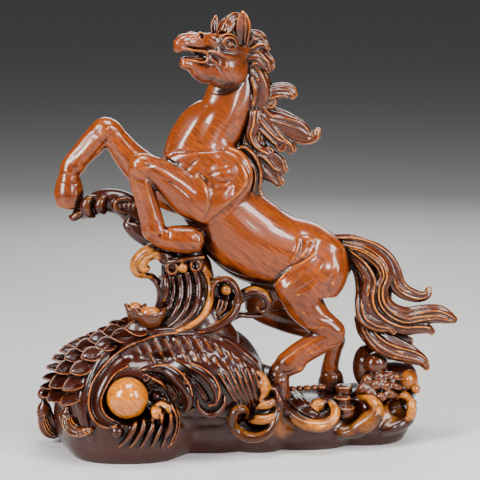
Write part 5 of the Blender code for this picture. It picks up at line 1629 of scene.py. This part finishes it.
def bend(points, quads, tris, normals, passes):
    """Mean curvature at each point, positive on ridges and negative in grooves."""
    pairs = [np.stack([quads[:, k], quads[:, (k + 1) % 4]], -1) for k in range(4) if len(quads)]
    pairs += [np.stack([tris[:, k], tris[:, (k + 1) % 3]], -1) for k in range(3) if len(tris)]
    a, b = np.vstack(pairs).T
    step = points[b] - points[a]
    length = np.einsum("ij,ij->i", step, step) + 1e-6
    turn = np.einsum("ij,ij->i", normals[b] - normals[a], step) / length
    size = len(points)
    count = np.bincount(a, minlength=size) + np.bincount(b, minlength=size) + 1e-9
    value = (np.bincount(a, turn, size) + np.bincount(b, turn, size)) / count
    for _ in range(passes):
        value = 0.4 * value + 0.6 * (
            np.bincount(a, value[b], size) + np.bincount(b, value[a], size)
        ) / count
    return value


def settle(points):
    """Units to metres, in the solid's place, kept inside the solid's box."""
    metres = points * UNIT - np.array([MIDDLE[0], MIDDLE[1], 0.0])
    return np.clip(metres, np.array(CAD_LOW) + 0.0001, np.array(CAD_HIGH) - 0.0001)


def finish_marks(points, quads, tris, normals, whole, tint, gain, passes):
    """Values that the varnish reads at every point: how shut in it is, for painted shade with dark glaze
    in hollows; ridge; and gold, which on the horse lays on stain and painted shade.
    """
    hollow_glaze_and_shade = np.zeros(len(points))
    # Painted shade in hollows: how shut in each point is, read from the whole statue at three reaches
    for reach, share in ((2.5, 0.25), (6.0, 0.40), (13.0, 0.35)):
        hollow_glaze_and_shade += share * np.clip(1.0 - trilinear(whole, points + normals * reach) / reach, 0.0, 1.2)
    ridge_mark = np.clip(0.5 + gain * bend(points, quads, tris, normals, passes), 0.0, 1.0)
    gold = trilinear(tint.field, points) if tint is not None else np.zeros(len(points))
    return {"hollow_glaze_and_shade": hollow_glaze_and_shade, "ridge": ridge_mark, "gold": gold}


def smooth_mesh(name, points, quads, tris, marks):
    """Smooth mesh with a number per point for each mark."""
    mesh = bpy.data.meshes.new(name)
    mesh.vertices.add(len(points))
    mesh.vertices.foreach_set("co", points.astype(np.float32).ravel())
    loops = np.concatenate([quads.ravel(), tris.ravel()]).astype(np.int32)
    sizes = np.concatenate([np.full(len(quads), 4), np.full(len(tris), 3)]).astype(np.int32)
    starts = np.concatenate([[0], np.cumsum(sizes)[:-1]]).astype(np.int32)
    mesh.loops.add(len(loops))
    mesh.loops.foreach_set("vertex_index", loops)
    mesh.polygons.add(len(sizes))
    mesh.polygons.foreach_set("loop_start", starts)
    mesh.update(calc_edges=True)
    mesh.polygons.foreach_set("use_smooth", np.ones(len(sizes), bool))
    for title, values in marks.items():
        attribute = mesh.attributes.new(title, "FLOAT", "POINT")
        attribute.data.foreach_set("value", values.astype(np.float32))
    return mesh


def thinned(points, quads, tris, normals, marks, most):
    """The surface with the number of triangles brought down where it is flat."""
    count = 2 * len(quads) + len(tris)
    if count <= most:
        return points, quads, tris, normals, marks
    kept = dict(marks, **{"normal_%d" % i: normals[:, i] for i in range(3)})
    rough = bpy.data.objects.new("thinned", smooth_mesh("thinned", points, quads, tris, kept))
    bpy.context.scene.collection.objects.link(rough)
    modifier = rough.modifiers.new("fewer", "DECIMATE")
    modifier.ratio = most / count
    modifier.use_collapse_triangulate = True
    mesh = bpy.data.meshes.new_from_object(rough.evaluated_get(bpy.context.evaluated_depsgraph_get()))
    points = np.zeros(3 * len(mesh.vertices), np.float32)
    mesh.vertices.foreach_get("co", points)
    tris = np.zeros(3 * len(mesh.polygons), np.int32)
    mesh.polygons.foreach_get("vertices", tris)
    values = {}
    for title in kept:
        values[title] = np.zeros(len(mesh.vertices), np.float32)
        mesh.attributes[title].data.foreach_get("value", values[title])
    normals = np.stack([values.pop("normal_%d" % i) for i in range(3)], -1)
    normals /= np.maximum(np.linalg.norm(normals, axis=1), 1e-6)[:, None]
    source = rough.data
    bpy.data.objects.remove(rough)
    bpy.data.meshes.remove(source)
    bpy.data.meshes.remove(mesh)
    points = points.reshape(-1, 3).astype(float)
    tris = tris.reshape(-1, 3).astype(int)
    return points, np.zeros((0, 4), int), tris, normals, values


def make_piece(name, faces, marks, material):
    """Mesh object with the varnish values, riding with the casting."""
    points, quads, tris, normals = faces
    used = np.unique(np.concatenate([quads.ravel(), tris.ravel()]))
    order = np.zeros(len(points), int)
    order[used] = np.arange(len(used))
    mesh = smooth_mesh(
        name, settle(points[used]), order[quads], order[tris],
        {title: values[used] for title, values in marks.items()},
    )
    mesh.normals_split_custom_set_from_vertices(normals[used])
    mesh.materials.append(material)
    piece = bpy.data.objects.new(name, mesh)
    bpy.context.scene.collection.objects.link(piece)
    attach(piece, "root")
    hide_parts("horse_statue")
    return piece


def add_surface(names, mesh_data, material, whole, tint=None, gain=1.0, passes=2, limits=()):
    """A surface as one piece, or shared out from left to right over several."""
    points, quads, tris = mesh_data
    normals = vertex_normals(points, quads, tris)
    marks = finish_marks(points, quads, tris, normals, whole, tint, gain, passes)
    points, quads, tris, normals, marks = thinned(
        points, quads, tris, normals, marks, MOST_TRIANGLES[names[0]],
    )
    edges = [-1e9] + list(limits) + [1e9]
    for i, name in enumerate(names):
        near = [
            (points[faces].mean(1)[:, 0] >= edges[i]) & (points[faces].mean(1)[:, 0] < edges[i + 1])
            for faces in (quads, tris)
        ]
        make_piece(name, (points, quads[near[0]], tris[near[1]], normals), marks, material)


class Shading:
    """Adds nodes to the tree of a material."""

    def __init__(self, tree):
        self.nodes = tree.nodes
        self.links = tree.links

    def node(self, kind, **values):
        """New node with its properties set."""
        made = self.nodes.new(kind)
        for key, value in values.items():
            setattr(made, key, value)
        return made

    def mark(self, name):
        """Value that a piece carries at its points."""
        return self.node("ShaderNodeAttribute", attribute_name=name).outputs["Fac"]

    def blend(self, factor, a, b):
        """Mix of two colours."""
        mix = self.node("ShaderNodeMix", data_type="RGBA")
        for socket, value in ((mix.inputs[0], factor), (mix.inputs[6], a), (mix.inputs[7], b)):
            if isinstance(value, bpy.types.NodeSocket):
                self.links.new(value, socket)
            else:
                socket.default_value = tuple(value) + (1.0,)
        return mix.outputs[2]

    def ramp(self, value, low, high, to_low=0.0, to_high=1.0):
        """Smooth step between two values."""
        made = self.node("ShaderNodeMapRange", clamp=True, interpolation_type="SMOOTHSTEP")
        self.links.new(value, made.inputs[0])
        for socket, level in zip(list(made.inputs)[1:5], (low, high, to_low, to_high)):
            socket.default_value = level
        return made.outputs[0]

    def noise(self, vector, scale, detail, roughness=0.55, distortion=0.0):
        """Cloudy noise at a place."""
        made = self.node("ShaderNodeTexNoise")
        made.inputs["Scale"].default_value = scale
        made.inputs["Detail"].default_value = detail
        made.inputs["Roughness"].default_value = roughness
        made.inputs["Distortion"].default_value = distortion
        self.links.new(vector, made.inputs["Vector"])
        return made.outputs["Fac"]

    def product(self, first, second):
        """One value times another."""
        made = self.node("ShaderNodeMath", operation="MULTIPLY")
        self.links.new(first, made.inputs[0])
        self.links.new(second, made.inputs[1])
        return made.outputs[0]


# Colours of a varnish: in the cuts (painted shade with dark glaze), on the flat, on worn edges and where
# it is rubbed to gold.
# Ridges: where wear starts and is full, and how deep a groove is dark with painted shade. Hollows: where
# painted shade in hollows starts and is full.
VARNISHES = {
    # On the horse the gold colour is dark: hoof stain and painted shade in creases and undersides
    "horse_varnish": dict(
        deep=(0.016, 0.0022, 0.0006), body=(0.25, 0.043, 0.0022), bright=(0.52, 0.145, 0.010),
        gold=(0.030, 0.007, 0.002), grain_turn=38.0, ridges=(0.56, 0.80, 0.24), hollows=(0.10, 0.48),
        rough=0.26, grain=0.26, coat=0.5,
    ),
    "carved_varnish": dict(
        deep=(0.006, 0.0010, 0.0003), body=(0.036, 0.0046, 0.0007), bright=(0.36, 0.090, 0.007),
        gold=(0.54, 0.165, 0.014), grain_turn=12.0, ridges=(0.62, 1.0, 0.35), hollows=(0.24, 0.72),
        rough=0.24, grain=0.6, coat=0.28,
    ),
    "hair_varnish": dict(
        deep=(0.006, 0.0012, 0.0004), body=(0.070, 0.0110, 0.0012), bright=(0.54, 0.160, 0.012),
        gold=(0.5, 0.2, 0.04), grain_turn=20.0, ridges=(0.58, 0.92, 0.24), hollows=(0.22, 0.64),
        rough=0.26, grain=0.6, coat=0.4,
    ),
    "golden_varnish": dict(
        deep=(0.06, 0.012, 0.002), body=(0.42, 0.110, 0.009), bright=(0.62, 0.23, 0.026),
        gold=(0.6, 0.25, 0.05), grain_turn=35.0, ridges=(0.60, 0.92, 0.42), hollows=(0.60, 1.0),
        rough=0.24, grain=0.42, coat=0.5,
    ),
    "pearl_varnish": dict(
        deep=(0.10, 0.018, 0.002), body=(0.62, 0.170, 0.004), bright=(0.74, 0.25, 0.012),
        gold=(0.6, 0.25, 0.05), grain_turn=52.0, ridges=(0.70, 0.98, 0.35), hollows=(0.30, 0.90),
        rough=0.22, grain=0.34, coat=0.8,
    ),
    "dark_varnish": dict(
        deep=(0.007, 0.0018, 0.0007), body=(0.085, 0.017, 0.003), bright=(0.38, 0.115, 0.015),
        gold=(0.3, 0.1, 0.02), grain_turn=12.0, ridges=(0.56, 0.90, 0.35), hollows=(0.34, 0.86),
        rough=0.20, grain=0.6, coat=0.6,
    ),
}
# Scale of the brushed grain in its three directions, and its relief in metres
GRAIN_STRETCH = (1.0, 0.16, 0.07)
GRAIN_RELIEF = 0.0004
COAT_ROUGHNESS = 0.06
COAT_IOR = 1.5


def varnish_colour(shading, place, streaks, deep, body, bright, gold, ridges, hollows, grain):
    """Brushed colour, worn on the ridges, golden where rubbed, and dark in the cuts and hollows as
    painted shade with dark glaze; on the horse the gold mark lays on stain and painted shade.
    """
    blend, ramp, noise = shading.blend, shading.ramp, shading.noise
    clouds = noise(place, 24.0, 4.0)
    specks = noise(place, 420.0, 3.0)
    # The hollow mark gives painted shade with dark glaze; on the horse the gold mark gives stain and
    # painted shade
    hollow_glaze_and_shade, ridge_mark, gilt = (shading.mark(name) for name in ("hollow_glaze_and_shade", "ridge", "gold"))
    streak = ramp(streaks, 0.40, 0.62)
    colour = blend(streak, body, tuple(c * grain for c in body))
    between = tuple(0.5 * (b + d) for b, d in zip(body, deep))
    colour = blend(ramp(clouds, 0.38, 0.72, 0.0, 0.75), colour, between)
    patches = noise(place, 90.0, 4.0, 0.6, 0.4)
    worn = ramp(ridge_mark, ridges[0], ridges[1], 0.0, 0.9)
    colour = blend(shading.product(worn, ramp(patches, 0.38, 0.60, 0.40, 1.0)), colour, bright)
    # Gold where rubbed; on the horse, dark hoof stain and painted shade in creases and undersides
    gold_stain_and_shade = shading.product(ramp(gilt, 0.15, 0.95, 0.0, 0.95), ramp(patches, 0.36, 0.56, 0.45, 1.0))
    colour = blend(gold_stain_and_shade, colour, blend(streak, gold, tuple(c * 0.5 for c in gold)))
    colour = blend(ramp(specks, 0.60, 0.78, 0.0, 0.35), colour, deep)
    # Painted shade in the grooves, with the dark glaze that collects there
    colour = blend(ramp(ridge_mark, 0.5 - ridges[2], 0.5 - 0.2 * ridges[2], 0.85, 0.0), colour, deep)
    # Painted shade in hollows, with the dark glaze there
    return blend(ramp(hollow_glaze_and_shade, hollows[0], hollows[1], 0.0, 0.94), colour, deep)


def varnish(name, grain_turn, rough, coat, **colours):
    """Glossy wood-coloured varnish, dark in the cuts with painted shade and glaze, golden on the high
    points.
    """
    material = bpy.data.materials.new(name)
    material.use_nodes = True
    shading = Shading(material.node_tree)
    shader = shading.nodes["Principled BSDF"]
    place = shading.node("ShaderNodeTexCoord").outputs["Object"]
    turned = shading.node("ShaderNodeMapping", vector_type="TEXTURE")
    turned.inputs["Rotation"].default_value = (0.0, math.radians(grain_turn), 0.0)
    turned.inputs["Scale"].default_value = GRAIN_STRETCH
    shading.links.new(place, turned.inputs["Vector"])
    streaks = shading.noise(turned.outputs[0], 60.0, 6.0, 0.66, 0.35)
    shading.links.new(varnish_colour(shading, place, streaks, **colours), shader.inputs["Base Color"])
    gloss = shading.ramp(streaks, 0.3, 0.7, rough * 0.85, rough * 1.25)
    shading.links.new(gloss, shader.inputs["Roughness"])
    bump = shading.node("ShaderNodeBump")
    bump.inputs["Strength"].default_value = 0.12
    bump.inputs["Distance"].default_value = GRAIN_RELIEF
    shading.links.new(streaks, bump.inputs["Height"])
    shading.links.new(bump.outputs[0], shader.inputs["Normal"])
    shader.inputs["Coat Weight"].default_value = coat
    shader.inputs["Coat Roughness"].default_value = COAT_ROUGHNESS
    shader.inputs["Coat IOR"].default_value = COAT_IOR
    shader.inputs["Specular IOR Level"].default_value = 0.3
    return material


def build_statue():
    """All pieces of the casting."""
    tint = Tint((-200, -100, 0), (190, 60, 275))
    # Dark stain on the hooves and painted shade in the horse's creases and undersides
    stain_and_shade = Tint((-210, -100, 30), (130, 64, 440), 2.4)
    stain_and_shade_horse(stain_and_shade)
    horse = horse_field().mesh()
    head = head_field().mesh()
    base_grid = base_field(tint)
    base = base_grid.mesh()
    wave = wave_field(tint).mesh()
    leaves = scales_field(base_grid).mesh()
    hair, brush, ends = mane_field().mesh(), tail_field().mesh(), tassels_field(base_grid).mesh()
    dark, gilt = dark_ornaments(), gold_ornaments()
    radius = PEARL_DIAMETER / 2.0 / UNIT
    pearl = ball(from_sheet(127.5, 398, PEARL_DEPTH), (radius, radius, radius), segments=96, rings=64)
    everything = [horse, head, base, wave, leaves, hair, brush, ends, dark, gilt, pearl]
    whole = relief((-224, -112, -8), (224, 104, 452), everything)

    coats = {name: varnish(name, **look) for name, look in VARNISHES.items()}
    coat, carved, hairy = coats["horse_varnish"], coats["carved_varnish"], coats["hair_varnish"]
    add_surface(("horse_front", "horse_rear"), horse, coat, whole, stain_and_shade, 1.2, 3, (-14.0,))
    add_surface(("horse_head",), head, coat, whole, stain_and_shade, 0.42, 3)
    add_surface(
        ("base_left", "base_middle", "base_right"), base, carved, whole, tint, 0.9, 2, (-104.0, -6.0),
    )
    add_surface(("wave_column",), wave, carved, whole, tint, 0.8, 2)
    add_surface(("leaf_scales",), leaves, carved, whole, gain=0.5)
    add_surface(("mane",), hair, hairy, whole, gain=0.8)
    add_surface(("tail",), brush, hairy, whole, gain=0.8)
    add_surface(("tassels",), ends, hairy, whole, gain=0.6)
    add_surface(("dark_ornaments",), dark, coats["dark_varnish"], whole, gain=0.6)
    add_surface(("gold_ornaments",), gilt, coats["golden_varnish"], whole, gain=0.6)
    add_surface(("pearl",), pearl, coats["pearl_varnish"], whole, gain=0.6)


# Soft boxes: name, place in metres, width, height, power; all face one point of the statue
LIT_POINT = Vector((0.0, 0.0, 0.2))
SOFTBOXES = (
    ("left_box", (-0.95, -0.75, 0.75), 0.35, 0.8, 36.0),
    ("front_box", (0.48, -1.20, 0.72), 0.18, 0.36, 11.0),
    ("right_box", (0.95, -0.65, 0.65), 0.30, 0.8, 22.0), ("top_box", (0.05, -0.15, 1.25), 0.6, 0.4, 16.0),
    ("back_box", (0.1, 1.2, 0.8), 1.0, 0.5, 9.0),
)
FLOOR_SIZE = 40.0
FLOOR_COLOUR = (0.52, 0.51, 0.50, 1.0)
ROOM_COLOUR = (0.80, 0.82, 0.85, 1.0)
ROOM_STRENGTH = 0.10


def light_room(scene):
    """Even pale light from all sides."""
    world = bpy.data.worlds.new("studio")
    scene.world = world
    world.use_nodes = True
    world.node_tree.nodes["Background"].inputs[0].default_value = ROOM_COLOUR
    world.node_tree.nodes["Background"].inputs[1].default_value = ROOM_STRENGTH


def add_floor(scene):
    """Pale floor."""
    floor_mesh = bpy.data.meshes.new("floor")
    corners = [(FLOOR_SIZE * x, FLOOR_SIZE * y, 0) for x, y in ((-1, -1), (1, -1), (1, 1), (-1, 1))]
    floor_mesh.from_pydata(corners, [], [(0, 1, 2, 3)])
    floor = bpy.data.objects.new("floor", floor_mesh)
    scene.collection.objects.link(floor)
    paint = bpy.data.materials.new("floor_paint")
    paint.use_nodes = True
    paint.node_tree.nodes["Principled BSDF"].inputs["Base Color"].default_value = FLOOR_COLOUR
    paint.node_tree.nodes["Principled BSDF"].inputs["Roughness"].default_value = 0.6
    floor_mesh.materials.append(paint)


def add_softboxes(scene):
    """Soft studio light, strongest from the left."""
    for name, place, width, height, power in SOFTBOXES:
        lamp = bpy.data.lights.new(name, "AREA")
        lamp.shape = "RECTANGLE"
        lamp.size = width
        lamp.size_y = height
        lamp.energy = power
        holder = bpy.data.objects.new(name, lamp)
        holder.location = place
        holder.rotation_euler = (LIT_POINT - Vector(place)).to_track_quat("-Z", "Y").to_euler()
        scene.collection.objects.link(holder)


def add_camera(scene):
    """The photograph's viewpoint."""
    camera = bpy.data.objects.new("camera", bpy.data.cameras.new("camera"))
    scene.collection.objects.link(camera)
    scene.camera = camera
    aim = Vector((-MIDDLE[0], -MIDDLE[1], AIM_HEIGHT * UNIT))
    reach = EYE_DISTANCE * UNIT
    camera.location = aim + Vector((0.0, -math.cos(EYE_TILT) * reach, math.sin(EYE_TILT) * reach))
    camera.rotation_euler = (aim - camera.location).to_track_quat("-Z", "Y").to_euler()
    camera.data.angle = 2.0 * math.atan(SHEET_MIDDLE / EYE_DISTANCE)


def stage():
    """Floor, light and viewpoint."""
    scene = bpy.context.scene
    light_room(scene)
    add_floor(scene)
    add_softboxes(scene)
    add_camera(scene)


build_statue()
stage()
